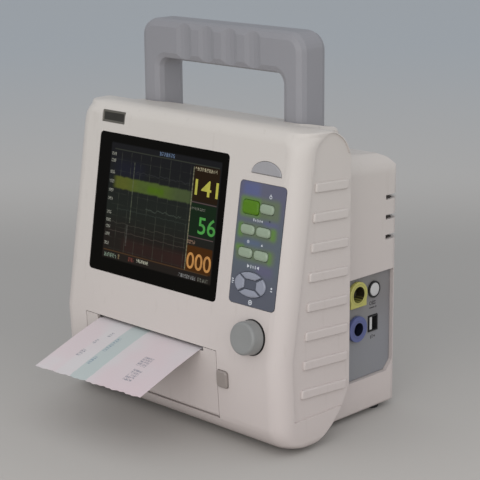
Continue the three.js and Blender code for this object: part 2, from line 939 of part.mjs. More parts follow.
function faceCuts() {
  const frame = faceFrame;
  const cuts = [
    prism(
      roundedRect(windowWidth + 2 * gap, windowHeight + 2 * gap, windowCorner + gap),
      -windowThickness - gap,
      overrun,
      { frame, steps: 3 },
    ),
    prism(
      roundedRect(apertureWidth, apertureHeight, windowCorner, displayU, displayV),
      -wall - overrun,
      overrun,
      { frame, steps: 2 },
    ),
    prism(
      roundedRect(plateWidth + 2 * gap, plateHeight + 2 * gap, plateCorner + gap, plateU, plateV),
      -plateSink - plateThickness - gap,
      overrun,
      { frame, steps: 2 },
    ),
    prism(lampShape(gap), -wall - overrun, overrun, { frame, steps: 8 }),
    prism(
      roundedRect(keypadWidth + 2 * gap, keypadHeight + 2 * gap, keypadCorner + gap, keypadU, keypadV),
      -overlayThickness - gap,
      overrun,
      { frame, steps: 3 },
    ),
    prism(
      roundedRect(encoderWidth + 2 * gap, encoderWidth + 2 * gap, gap, knobU, knobV),
      -wall - overrun,
      overrun,
      { frame, steps: 1 },
    ),
  ];
  keyPlaces().forEach((place) => {
    cuts.push(prism(keyOutline(place, gap), -wall - overrun, overrun, { frame, steps: 2 }));
  });
  cursorNames.forEach((name, quarter) => {
    cuts.push(prism(cursorOutline(quarter, gap), -wall - overrun, overrun, { frame }));
  });
  return cuts;
}

const doorHalf = doorWidth / 2;
const hingeHeight = doorBottom + doorBarrelRadius;
const hingeY = chinY(hingeHeight) + doorBarrelRadius / Math.cos(chinUndercut);

function doorOpening() {
  const half = doorHalf + doorSeam;
  return block(
    printerX - half,
    printerX + half,
    slotY - overrun,
    hingeY + doorBarrelRadius + doorSeam,
    doorBottom - doorSeam,
    slotHeight,
  );
}

function hingeCheeks() {
  return [-1, 1].map((side) => {
    const near = printerX + side * (doorHalf + doorSeam);
    const far = near + side * cheekThickness;
    const cheek = block(
      Math.min(near, far),
      Math.max(near, far),
      chinY(hingeHeight) + wall / 2,
      hingeY + cheekDepth,
      footHeight + wall / 2,
      hingeHeight + cheekHeight,
    );
    return cheek;
  });
}

function hingePinBores() {
  const reach = doorHalf + doorPinLength + gap;
  return prism(
    circle(hingeY, hingeHeight, doorPinRadius + gap),
    printerX - reach,
    printerX + reach,
    { frame: sideFrame, steps: 8 },
  );
}

function circle(x, y, radius) {
  const shape = new THREE.Shape();
  shape.absarc(x, y, radius, 0, 360 * degree, false);
  return shape;
}

const latchX = doorHalf + doorSeam + latchSideGap + latchWidth / 2;

function latchOutline(grow) {
  return roundedRect(latchWidth + 2 * grow, latchHeight + 2 * grow, latchCorner, latchX, -latchDrop);
}

function screwPlaces() {
  return [[-postX, postLow], [postX, postLow], [-postX, postHigh], [postX, postHigh]];
}

const openingFrontY = frontRearFace - wall - heelHeight;

function frontHousing() {
  const opening = block(
    -openingHalfWidth,
    openingHalfWidth,
    openingFrontY,
    partingY + overrun,
    openingBottom,
    openingTop,
  );
  const bosses = bracketCorners().map(([u, v]) => rod(
    u,
    v,
    bracketBack + gap,
    wallBack + gap,
    bossRadius,
    { frame: faceFrame, steps: 8 },
  ));
  const screwBosses = screwPlaces().map(([x, z]) => rod(
    x,
    z,
    -frontRearFace + gap,
    screwLength - frontRearFace,
    postRadius,
    { frame: frontFrame, steps: 12 },
  ));
  const pilots = screwPlaces().map(([x, z]) => rod(
    x,
    z,
    -partingY - overrun,
    screwLength + wall - frontRearFace,
    pilotRadius,
    { frame: frontFrame, steps: 8 },
  ));
  const latchHole = prism(latchOutline(gap), -wall - overrun, overrun, { frame: chinFrame, steps: 2 });
  const hollow = frontShellSolid().subtract(frontCavitySolid());
  const holed = cut(hollow, [opening, ...[-1, 1].map(sideRecess)]);
  const trimmed = [...screwBosses, ...hingeCheeks()].map((piece) => piece.intersect(frontShellSolid()));
  const inner = [...bosses, ...keyBoardBosses(), ...trimmed];
  const whole = join([holed, saddleHalf(true), ...inner, ...gripBars(1), ...gripBars(-1)]);
  return cut(whole, [
    ...faceCuts(),
    doorOpening(),
    hingePinBores(),
    latchHole,
    ...pilots,
    ...handleSockets(),
  ]);
}

// Rear housing: a side profile, a plan outline and two front outlines that cut one another
function rearOutline(inset, roofed) {
  const half = rearHalfWidth - inset + (roofed ? 0 : overrun);
  const top = roofed ? rearTopHeight - inset : crestHeight;
  const bottom = roofed ? -rearTopHeight : footHeight + inset;
  const radius = roofed ? rearShoulderRadius - inset : 0;
  const shape = new THREE.Shape();
  if (roofed) {
    shape.moveTo(half, bottom);
    shape.lineTo(half, top - radius);
    shape.absarc(half - radius, top - radius, radius, 0, 90 * degree, false);
    shape.absarc(radius - half, top - radius, radius, 90 * degree, 180 * degree, false);
    shape.lineTo(-half, bottom);
    return shape;
  }
  const reach = rearHalfWidth - inset;
  const edge = Math.max(rearBottomEdgeRadius - inset / 2, gap);
  shape.absarc(reach - edge, bottom + edge, edge, -90 * degree, 0, false);
  shape.lineTo(reach, top);
  shape.lineTo(-reach, top);
  shape.absarc(edge - reach, bottom + edge, edge, 180 * degree, 270 * degree, false);
  return shape;
}

// The rear half's lower front runs under the curved heel of the front half
function rearSideProfile(inset) {
  const back = rearY - inset;
  const bottom = footHeight + inset;
  const radius = rearHeelRadius - inset;
  const topAtBack = rearTopHeight - (rearY - partingY) * Math.tan(rearTopSlope) - inset;
  const shape = new THREE.Shape();
  if (inset > 0) {
    shape.moveTo(heelFrontY, bottom);
  } else {
    shape.moveTo(rearFrontFace, heelTop);
    heelProfile.slice(0, -1).reverse().forEach(([y, z]) => shape.lineTo(y + heelGap, z));
  }
  shape.lineTo(back - radius, bottom);
  shape.absarc(back - radius, bottom + radius, radius, -90 * degree, 0, false);
  shape.lineTo(back, topAtBack - rearTopRoundHeight + inset);
  shape.quadraticCurveTo(
    back,
    topAtBack,
    back - rearTopRoundY + inset,
    topAtBack + (rearTopRoundY - inset) * Math.tan(rearTopSlope),
  );
  shape.lineTo(inset > 0 ? heelFrontY : rearFrontFace, rearTopHeight + overrun);
  return shape;
}

function rearPlanOutline(inset) {
  const half = rearHalfWidth - inset;
  const back = rearY - inset;
  const radius = rearCornerRounding - inset;
  const shape = new THREE.Shape();
  shape.moveTo(-half, 0);
  shape.lineTo(half, 0);
  shape.absarc(half - radius, back - radius, radius, 0, 90 * degree, false);
  shape.absarc(radius - half, back - radius, radius, 90 * degree, 180 * degree, false);
  return shape;
}

// Level outline with a rounded bottom, and a second one with a rounded top that follows the sloping roof
function rearBody(inset) {
  const slope = new THREE.Matrix4().makeTranslation(0, partingY, 0);
  slope.multiply(new THREE.Matrix4().makeShear(0, 0, 0, -Math.tan(rearTopSlope), 0, 0));
  slope.multiply(new THREE.Matrix4().makeTranslation(0, -partingY, 0));
  slope.multiply(frontFrame);
  const low = -rearY - overrun;
  const across = prism(rearSideProfile(inset), -halfWidth, halfWidth, { frame: sideFrame, steps: 5 });
  const plan = prism(rearPlanOutline(inset), -overrun, crestHeight, { steps: 4 });
  const roofed = prism(rearOutline(inset, true), low, 0, { frame: slope, steps: 5 });
  const floored = prism(rearOutline(inset, false), low, 0, { frame: frontFrame, steps: 3 });
  return across.intersect(plan).intersect(roofed).intersect(floored);
}

function connectorOutline(grow) {
  return polygon([
    [plateFrontY - grow, plateBottom - grow],
    [plateRearY - plateChamfer, plateBottom - grow],
    [plateRearY + grow, plateBottom + plateChamfer],
    [plateRearY + grow, plateTop + grow],
    [plateFrontY - grow, plateTop + grow],
  ]);
}

const plateFace = rearHalfWidth - plateRecess;
const plateBack = plateFace - connectorPlateThickness;
const padInner = rearHalfWidth - platePad;

function keyedFlange(grow) {
  const shape = new THREE.Shape();
  const half = socketKeyWidth / 2 + grow;
  const radius = socketFlangeRadius + grow;
  const meet = Math.asin(Math.sqrt(radius ** 2 - half ** 2) / radius);
  shape.absarc(0, 0, radius, -meet, 180 * degree + meet, false);
  shape.lineTo(-half, -socketKeyDrop - grow);
  shape.lineTo(half, -socketKeyDrop - grow);
  return shape;
}

function shifted(y, z) {
  return new THREE.Matrix4().makeTranslation(0, y, z).multiply(sideFrame);
}

function connectorBores(grow) {
  const low = padInner - overrun;
  const high = rearHalfWidth + overrun;
  return [
    prism(
      circle(socketY, upperSocketHeight, socketBodyRadius + grow),
      low,
      high,
      { frame: sideFrame, steps: 10 },
    ),
    prism(
      circle(socketY, lowerSocketHeight, socketBodyRadius + grow),
      low,
      high,
      { frame: sideFrame, steps: 10 },
    ),
    prism(
      circle(portY, upperSocketHeight, ringPortRadius - ringPortRim + grow),
      low,
      high,
      { frame: sideFrame, steps: 8 },
    ),
    prism(
      roundedRect(dataPortWidth + 2 * grow, dataPortHeight + 2 * grow, gap, portY, lowerSocketHeight),
      low,
      high,
      { frame: sideFrame, steps: 1 },
    ),
  ];
}

function ventCuts() {
  const cuts = [];
  for (let i = 0; i < ventCount; i += 1) {
    const z = ventTopHeight - i * ventPitch;
    for (const side of [-1, 1]) {
      const outer = side * (rearHalfWidth + overrun);
      const inner = side * (rearHalfWidth - ventRearReach);
      cuts.push(block(
        Math.min(outer, inner),
        Math.max(outer, inner),
        rearY - ventSideReach,
        rearY + overrun,
        z - ventHeight / 2,
        z + ventHeight / 2,
      ));
    }
  }
  return cuts;
}

function grilleCuts() {
  const cuts = [];
  for (let i = 0; i < grilleCount; i += 1) {
    const z = speakerHeight + (i - (grilleCount - 1) / 2) * grillePitch;
    cuts.push(prism(
      roundedRect(grilleLength, grilleSlot, grilleSlot / 2 - gap, speakerY, z),
      -rearHalfWidth - overrun,
      -rearHalfWidth + wall + gap,
      { frame: sideFrame, steps: 2 },
    ));
  }
  return cuts;
}

const coverHalfWidth = batteryWidth / 2 + coverMargin;
const coverFrontY = batteryFrontY - coverMargin / 2;
const coverRearY = batteryFrontY + batteryDepth - coverMargin / 2;

function rearHousing() {
  const cavity = rearBody(wall);
  const pad = prism(
    connectorOutline(wall),
    padInner,
    rearHalfWidth - wall / 2,
    { frame: sideFrame },
  ).intersect(rearBody(wall / 2));
  const posts = screwPlaces().map(([x, z]) => rod(
    x,
    z,
    gap - rearY + wall / 2,
    -rearFrontFace,
    postRadius,
    { frame: frontFrame, steps: 12 },
  ));
  const bores = screwPlaces().map(([x, z]) => rod(
    x,
    z,
    -rearY - overrun,
    -rearFrontFace - screwSeatDepth,
    postBore,
    { frame: frontFrame, steps: 12 },
  ));
  const holes = screwPlaces().map(([x, z]) => rod(
    x,
    z,
    -rearY,
    overrun - rearFrontFace,
    pilotRadius,
    { frame: frontFrame, steps: 8 },
  ));
  const pocket = prism(
    connectorOutline(gap),
    plateBack - gap,
    rearHalfWidth + overrun,
    { frame: sideFrame },
  );
  const inletHole = prism(
    roundedRect(
      inletWidth - 2 * inletFlange + 2 * gap,
      inletTall - 2 * inletFlange + 2 * gap,
      gap,
      inletX,
      inletHeight,
    ),
    -rearY - overrun,
    wall + gap - rearY,
    { frame: frontFrame, steps: 1 },
  );
  const studHole = rod(
    studX,
    inletHeight,
    -rearY - overrun,
    wall + gap - rearY,
    studRadius + gap,
    { frame: frontFrame },
  );
  const coverHole = block(
    batteryX - coverHalfWidth,
    batteryX + coverHalfWidth,
    coverFrontY,
    coverRearY,
    footHeight - overrun,
    footHeight + coverThickness,
  );
  const coverWindow = block(
    batteryX - coverHalfWidth + coverMargin,
    batteryX + coverHalfWidth - coverMargin,
    coverFrontY + coverMargin,
    coverRearY - coverMargin,
    footHeight - overrun,
    footHeight + wall + gap,
  );
  const shell = join([rearBody(0).subtract(cavity), saddleHalf(false), pad, ...posts]);
  return cut(shell, [
    ...bores,
    ...holes,
    pocket,
    ...connectorBores(gap),
    ...ventCuts(),
    ...grilleCuts(),
    inletHole,
    studHole,
    coverHole,
    coverWindow,
    ...handleSockets(),
  ]);
}

// Handle
function handleSolid() {
  const half = handleWidth / 2;
  const inner = half - handleLegWidth;
  const barLow = handleTopHeight - handleBarHeight;
  const shape = new THREE.Shape();
  shape.moveTo(half - handleLegWidth, handleFootHeight);
  shape.lineTo(half, handleFootHeight);
  shape.absarc(
    half - handleOuterRadius,
    handleTopHeight - handleOuterRadius,
    handleOuterRadius,
    0,
    90 * degree,
    false,
  );
  shape.absarc(
    handleOuterRadius - half,
    handleTopHeight - handleOuterRadius,
    handleOuterRadius,
    90 * degree,
    180 * degree,
    false,
  );
  shape.lineTo(-half, handleFootHeight);
  shape.lineTo(-inner, handleFootHeight);
  shape.absarc(
    handleInnerRadius - inner,
    barLow - handleInnerRadius,
    handleInnerRadius,
    180 * degree,
    90 * degree,
    true,
  );
  shape.absarc(
    inner - handleInnerRadius,
    barLow - handleInnerRadius,
    handleInnerRadius,
    90 * degree,
    0,
    true,
  );
  const body = prism(shape, -handleY - handleDepth / 2, handleDepth / 2 - handleY, {
    frame: frontFrame,
    bevel: handleEdge,
    bevelSteps: 2,
    steps: 4,
  });
  const flutes = [];
  for (let i = 0; i < fluteCount; i += 1) {
    const x = (i - (fluteCount - 1) / 2) * flutePitch;
    const y = handleY - handleDepth / 2 - fluteRadius + fluteDepth;
    flutes.push(rod(x, y, barLow - overrun, handleTopHeight + overrun, fluteRadius, { steps: 32 }));
  }
  return cut(body, flutes);
}

// Gear with straight-flanked teeth about the frame's z axis
function gearShape(teeth, turn) {
  const pitch = (gearModule * teeth) / 2;
  const tip = pitch + gearModule;
  const root = pitch - gearModule * dedendumShare;
  const step = 360 * degree / teeth;
  const shape = new THREE.Shape();
  for (let i = 0; i < teeth; i += 1) {
    const middle = turn + i * step;
    const corners = [
      [root, -toothRootShare / 2],
      [tip, -toothTipShare / 2],
      [tip, toothTipShare / 2],
      [root, toothRootShare / 2],
    ];
    corners.forEach(([radius, share], index) => {
      const angle = middle + share * step;
      const point = [radius * Math.cos(angle), radius * Math.sin(angle)];
      if (i === 0 && index === 0) {
        shape.moveTo(...point);
      } else {
        shape.lineTo(...point);
      }
    });
  }
  return shape;
}

const gearDistance = (gearModule * (platenTeeth + driveTeeth)) / 2 + gearBacklash;
const driveY = platenY + gearDistance;
const earOuter = platenLength / 2 + earGap + earThickness;
const gearInner = earOuter + earGap;
const gearOuter = gearInner + gearWidth;
const headHalf = earOuter - earThickness;

// Recorder door with its hinge barrel, pins and the two ears that carry the platen
function doorSolid() {
  const top = slotHeight - doorSeam;
  const back = (height) => chinY(height) + doorThickness;
  const shape = new THREE.Shape();
  shape.moveTo(chinY(top), top);
  shape.lineTo(chinY(hingeHeight), hingeHeight);
  shape.absarc(hingeY, hingeHeight, doorBarrelRadius, 180 * degree + chinUndercut, 360 * degree, false);
  shape.lineTo(hingeY + doorBarrelRadius, hingeHeight + doorBarrelRadius);
  shape.lineTo(back(hingeHeight + 2 * doorBarrelRadius), hingeHeight + 2 * doorBarrelRadius);
  shape.lineTo(back(top), top);
  const panel = prism(shape, printerX - doorHalf, printerX + doorHalf, { frame: sideFrame });
  const pins = rodAcross(hingeY, hingeHeight, doorHalf + doorPinLength, doorPinRadius, 14);
  const notch = block(
    printerX - paperWidth / 2 - paperNotchMargin,
    printerX + paperWidth / 2 + paperNotchMargin,
    slotY - overrun,
    slotY + doorThickness + overrun,
    top - paperNotchDepth,
    slotHeight + overrun,
  );
  const ears = [-1, 1].map((side) => {
    const near = printerX + side * (platenLength / 2 + earGap);
    const far = near + side * earThickness;
    const ear = new THREE.Shape();
    ear.moveTo(chinY(hingeHeight) + doorThickness / 2, platenHeight - 3 * earRadius);
    ear.lineTo(platenY, platenHeight - earRadius);
    ear.absarc(platenY, platenHeight, earRadius, -90 * degree, 90 * degree, false);
    ear.lineTo(slotY + doorThickness / 2, platenHeight + earRadius);
    return prism(ear, Math.min(near, far), Math.max(near, far), { frame: sideFrame, steps: 6 });
  });
  const bore = rodAcross(platenY, platenHeight, earOuter + overrun, platenShaftRadius + gap, 14);
  const full = join([panel, pins, ...ears]);
  return cut(full, [notch, bore]);
}

// A round bar across the recorder, about an axis along X
function rodAcross(y, z, half, radius, steps) {
  return rod(y, z, printerX - half, printerX + half, radius, { frame: sideFrame, steps });
}

function chassisSolid() {
  const low = printerX - chassisHalfWidth;
  const high = printerX + chassisHalfWidth;
  const trayLow = printerX - trayHalfWidth;
  const trayHigh = printerX + trayHalfWidth;
  const floorTop = chassisFloorHeight + chassisThickness;
  const legFoot = footHeight + wall + gap;
  const crossFront = platenY + platenPaperRadius + paperThickness / 2 + gap + headDepth + gap;
  const crossRear = crossFront + chassisThickness;
  const solids = [
    block(
      low,
      high,
      chassisFrontY + cheekDepth / 3,
      crossRear + chassisPostDepth / 2,
      chassisFloorHeight,
      floorTop,
    ),
    block(trayLow, trayHigh, chassisFrontY + cheekDepth / 3, chassisRearY, chassisFloorHeight, floorTop),
    block(
      trayLow,
      trayHigh,
      chassisRearY - chassisThickness,
      chassisRearY,
      chassisFloorHeight,
      chassisWallHeight,
    ),
  ];
  for (const side of [-1, 1]) {
    const wallNear = printerX + side * trayHalfWidth;
    const wallFar = wallNear - side * chassisThickness;
    solids.push(block(
      Math.min(wallNear, wallFar),
      Math.max(wallNear, wallFar),
      crossRear,
      chassisRearY,
      chassisFloorHeight,
      chassisWallHeight,
    ));
    const plateNear = printerX + side * chassisHalfWidth;
    const plateFar = plateNear - side * chassisThickness;
    solids.push(block(
      Math.min(plateNear, plateFar),
      Math.max(plateNear, plateFar),
      chassisFrontY,
      crossRear + chassisPostDepth / 2,
      chassisFloorHeight,
      chassisTopHeight,
    ));
    for (const y of [crossRear, chassisRearY - chassisLegWidth]) {
      const x = printerX + side * (trayHalfWidth - chassisLegWidth);
      solids.push(block(
        x - chassisLegWidth / 2,
        x + chassisLegWidth / 2,
        y,
        y + chassisLegWidth,
        legFoot,
        floorTop,
      ));
    }
  }
  const crossLow = platenHeight - headHeight / 2 + headRise - chassisThickness;
  solids.push(block(low, high, crossFront, crossRear, crossLow, chassisTopHeight));
  const bore = rod(
    driveY,
    platenHeight,
    low - overrun,
    printerX,
    motorShaftRadius + gap,
    { frame: sideFrame, steps: 12 },
  );
  return cut(
    join(solids),
    [bore.intersect(block(low - overrun, low + overrun, 0, partingY, 0, crestHeight))],
  );
}

function headSolid() {
  const front = platenY + platenPaperRadius + paperThickness / 2 + gap;
  const low = platenHeight + headRise - headHeight / 2;
  const high = low + headHeight;
  const fins = [];
  const finCount = 4;
  const finPitch = headHeight / finCount;
  for (let i = 0; i < finCount; i += 1) {
    const z = low + finPitch * (i + 0.5);
    fins.push(block(
      printerX - headHalf - overrun,
      printerX + headHalf + overrun,
      front + headDepth / 2,
      front + headDepth - headRise,
      z - finPitch / 4,
      z + finPitch / 4,
    ));
  }
  const body = block(printerX - headHalf, printerX + headHalf, front, front + headDepth, low, high);
  return cut(body, fins.slice(1, finCount - 1));
}

function packSolid() {
  const half = paperWidth / 2;
  const floor = chassisFloorHeight + chassisThickness + gap;
  const folds = 10;
  const sheet = packHeight / folds;
  const points = [];
  const nip = sheet / 2;
  for (let i = 0; i < folds; i += 1) {
    points.push([packFrontY, floor + i * sheet], [packFrontY + nip, floor + (i + 0.5) * sheet]);
  }
  points.push([packFrontY, floor + packHeight], [packFrontY + packDepth, floor + packHeight]);
  for (let i = folds - 1; i >= 0; i -= 1) {
    points.push(
      [packFrontY + packDepth - nip, floor + (i + 0.5) * sheet],
      [packFrontY + packDepth, floor + i * sheet],
    );
  }
  return prism(polygon(points.reverse()), printerX - half, printerX + half, { frame: sideFrame });
}

// The strip's middle line from the pack over the platen and out of the slot, as [y, z] points
function paperPath() {
  const packTop = chassisFloorHeight + chassisThickness + gap + packHeight + gap + paperThickness / 2;
  const nipY = platenY + platenPaperRadius;
  const headLow = platenHeight + headRise - headHeight / 2;
  const path = [
    [packFrontY + paperBendDrop, packTop],
    ...curvePoints([packFrontY - paperBendDrop / 2, packTop], [nipY, packTop], [nipY, headLow], 4),
  ];
  const wrap = 6;
  for (let i = 0; i <= wrap; i += 1) {
    const angle = (i / wrap) * 90 * degree;
    path.push([
      platenY + platenPaperRadius * Math.cos(angle),
      platenHeight + platenPaperRadius * Math.sin(angle),
    ]);
  }
  const bend = [
    slotY + (paperTipY - slotY) * paperBendShare,
    paperExitHeight - paperBendDrop,
  ];
  path.push(...curvePoints([slotY, paperExitHeight], bend, [paperTipY, paperTipHeight], 8));
  return path;
}

function paperSolid() {
  const path = paperPath();
  const half = paperThickness / 2;
  const offset = (sign) => path.map(([y, z], i) => {
    const before = path[Math.max(i - 1, 0)];
    const after = path[Math.min(i + 1, path.length - 1)];
    const length = Math.hypot(after[0] - before[0], after[1] - before[1]);
    const normalY = -(after[1] - before[1]) / length;
    const normalZ = (after[0] - before[0]) / length;
    return [y + sign * half * normalY, z + sign * half * normalZ];
  });
  const outline = [...offset(-1), ...offset(1).reverse()];
  const sheet = prism(
    polygon(outline.reverse()),
    printerX - paperWidth / 2,
    printerX + paperWidth / 2,
    { frame: sideFrame },
  );
  const skew = polygon([
    [printerX - paperWidth / 2 - overrun, paperTipY - overrun],
    [printerX + paperWidth / 2 + overrun, paperTipY - overrun],
    [printerX + paperWidth / 2 + overrun, paperTipY + paperTipSkew],
    [printerX + paperWidth / 2, paperTipY + paperTipSkew],
    [printerX - paperWidth / 2, paperTipY],
    [printerX - paperWidth / 2 - overrun, paperTipY],
  ]);
  return sheet.subtract(prism(skew, 0, slotHeight));
}

// Keys: a cap that comes through the keypad and a flange that stays behind the wall
function keySolid(outline, flange) {
  const cap = prism(
    outline,
    keyWell - keyFlangeThickness * capRootShare,
    keyRise,
    { bevel: keyEdge, steps: 2 },
  );
  const skirt = prism(flange, keyWell - keyFlangeThickness, keyWell, { steps: 1 });
  return cap.add(skirt);
}

function keyStem(u, v) {
  return rod(u, v, keyWell - keyFlangeThickness - keyStemLength, keyWell, domeRadius, { steps: 8 });
}

function materialOf(color, roughness, metalness = 0) {
  return new THREE.MeshStandardMaterial({ color, roughness, metalness });
}

const finish = {
  shell: materialOf(0xe6e1da, 0.5),
  handle: materialOf(0x8b8a90, 0.55),
  knob: materialOf(0x85868a, 0.5),
  latch: materialOf(0x8a827c, 0.5),
  glass: materialOf(0x0b0b0c, 0.08),
  display: materialOf(0x24292a, 0.35),
  darkPlate: materialOf(0x35332d, 0.5),
  lamp: materialOf(0x9b9ea3, 0.3),
  keypad: materialOf(0x5d6577, 0.5),
  green: materialOf(0x5d8f1e, 0.45),
  paleKey: materialOf(0xa9bc95, 0.5),
  cursor: materialOf(0x99a3b5, 0.5),
  board: materialOf(0x1f5a35, 0.5),
  steel: materialOf(0xb3b5b8, 0.35, 1),
  brass: materialOf(0xc2a04c, 0.35, 1),
  black: materialOf(0x1b1b1d, 0.5),
  rubber: materialOf(0x2a2a2c, 0.8),
  gear: materialOf(0xe9e7e0, 0.5),
  paper: materialOf(0xe8dcdc, 0.85),
  connectorPlate: materialOf(0x7f8188, 0.5),
  yellow: materialOf(0xc6c23c, 0.45),
  blue: materialOf(0x3c54a0, 0.45),
  white: materialOf(0xdedede, 0.4),
  battery: materialOf(0x3d4f8a, 0.5),
};

const monitor = new THREE.Group();
const housing = new THREE.Group();
const face = new THREE.Group();
const chin = new THREE.Group();
housing.position.y = -(paperTipY + rearMostY) / 2;
face.applyMatrix4(faceFrame);
chin.applyMatrix4(chinFrame);
monitor.add(housing);
housing.add(face, chin);

function place(parent, name, solid, material) {
  const mesh = new THREE.Mesh(geometryFrom(solid), material);
  mesh.name = name;
  parent.add(mesh);
}

// Casing
place(housing, 'front_housing', frontHousing(), finish.shell);
place(housing, 'rear_housing', rearHousing(), finish.shell);
place(housing, 'carrying_handle', handleSolid(), finish.handle);

// Screen window, display, bracket and main board
function addDisplay() {
  const pane = prism(
    roundedRect(windowWidth, windowHeight, windowCorner),
    -windowThickness,
    0,
    { steps: 3 },
  );
  const panelFront = wallBack - gap;
  const panel = block(
    displayU - displayWidth / 2,
    displayU + displayWidth / 2,
    displayV - displayHeight / 2,
    displayV + displayHeight / 2,
    panelFront - displayThickness,
    panelFront,
  );
  const plate = prism(
    roundedRect(
      2 * bracketU + 2 * bossRadius,
      2 * bracketV + 2 * bossRadius,
      bossRadius,
      displayU,
      displayV,
    ),
    bracketBack - bracketThickness,
    bracketBack,
    { steps: 3 },
  );
  const standoffFoot = bracketBack - bracketThickness;
  const posts = [[-1, -1], [-1, 1], [1, -1], [1, 1]].map(([x, y]) => rod(
    displayU + x * (mainBoardWidth / 2 - bracketLip / 2),
    displayV + y * (mainBoardHeight / 2 - bracketLip / 2),
    standoffFoot - boardStandoff,
    standoffFoot + gap,
    boardStandoffRadius,
    { steps: 10 },
  ));
  const boardFront = standoffFoot - boardStandoff - gap;
  const board = block(
    displayU - mainBoardWidth / 2,
    displayU + mainBoardWidth / 2,
    displayV - mainBoardHeight / 2,
    displayV + mainBoardHeight / 2,
    boardFront - boardThickness,
    boardFront,
  );
  const chipShares = [
    [-0.25, 0.18, 0.2, 0.26, 3],
    [0.2, 0.22, 0.14, 0.18, 5],
    [0.3, -0.25, 0.22, 0.16, 8],
    [-0.2, -0.3, 0.3, 0.12, 6],
  ];
  const chips = chipShares.map(([u, v, w, h, tall]) => block(
    displayU + (u - w / 2) * mainBoardWidth,
    displayU + (u + w / 2) * mainBoardWidth,
    displayV + (v - h / 2) * mainBoardHeight,
    displayV + (v + h / 2) * mainBoardHeight,
    boardFront - boardThickness - tall * boardThickness,
    boardFront - boardThickness / 2,
  ));
  place(face, 'display_window', pane, finish.glass);
  place(face, 'display_panel', panel, finish.display);
  place(face, 'display_bracket', join([plate, ...posts]), finish.steel);
  place(face, 'main_board', join([board, ...chips]), finish.board);
}
addDisplay();

// Face trim: bare plate and alarm lamp
function addFaceTrim() {
  const plate = prism(
    roundedRect(plateWidth, plateHeight, plateCorner, plateU, plateV),
    -plateSink - plateThickness,
    -plateSink,
    { steps: 2 },
  );
  const lamp = prism(lampShape(0), lampProud - lampThickness, lampProud, { bevel: lampEdge, steps: 8 });
  place(face, 'face_plate', plate, finish.darkPlate);
  place(face, 'alarm_lamp', lamp, finish.lamp);
}
addFaceTrim();

// Keypad, keys and key board
function addKeypad() {
  const overlay = prism(
    roundedRect(keypadWidth, keypadHeight, keypadCorner, keypadU, keypadV),
    -overlayThickness,
    0,
    { steps: 3 },
  );
  const holes = keyPlaces().map((key) => prism(keyOutline(key, gap), -wall, overrun, { steps: 2 }));
  cursorNames.forEach((name, quarter) => {
    holes.push(prism(cursorOutline(quarter, gap), -wall, overrun));
  });
  place(face, 'keypad_panel', cut(overlay, holes), finish.keypad);

  const domes = [];
  keyPlaces().forEach((key, index) => {
    const skirt = roundedRect(key.width + 2 * gap, key.height + 2 * keyFlange, keyCorner, key.u, key.v);
    const solid = keySolid(keyOutline(key, 0), skirt).add(keyStem(key.u, key.v));
    place(face, key.name, solid, index === 0 ? finish.green : finish.paleKey);
    domes.push([key.u, key.v]);
  });
  cursorNames.forEach((name, quarter) => {
    const angle = quarter * 90 * degree;
    const u = keypadU + cursorU + ((cursorOuterU + cursorInnerU) / 2) * Math.cos(angle);
    const v = keypadV + cursorV + ((cursorOuterV + cursorInnerV) / 2) * Math.sin(angle);
    const solid = keySolid(cursorOutline(quarter, 0), cursorOutline(quarter, 0)).add(keyStem(u, v));
    place(face, name, solid, finish.cursor);
    domes.push([u, v]);
  });

  const board = block(
    keypadU - keyBoardWidth / 2,
    keypadU + keyBoardWidth / 2,
    keyBoardBottom,
    keyBoardTop,
    keyBoardFront - boardThickness,
    keyBoardFront,
  );
  const switches = domes.map(([u, v]) => rod(
    u,
    v,
    keyBoardFront - gap,
    keyBoardFront + domeHeight,
    domeRadius,
    { steps: 8 },
  ));
  const lampLight = block(
    lampU - lampWidth / 4,
    lampU + lampWidth / 4,
    keyBoardTop - 2 * domeRadius,
    keyBoardTop,
    keyBoardFront - gap,
    lampProud - lampThickness - gap,
  );
  place(face, 'key_board', join([board, ...switches, lampLight]), finish.board);
}
addKeypad();

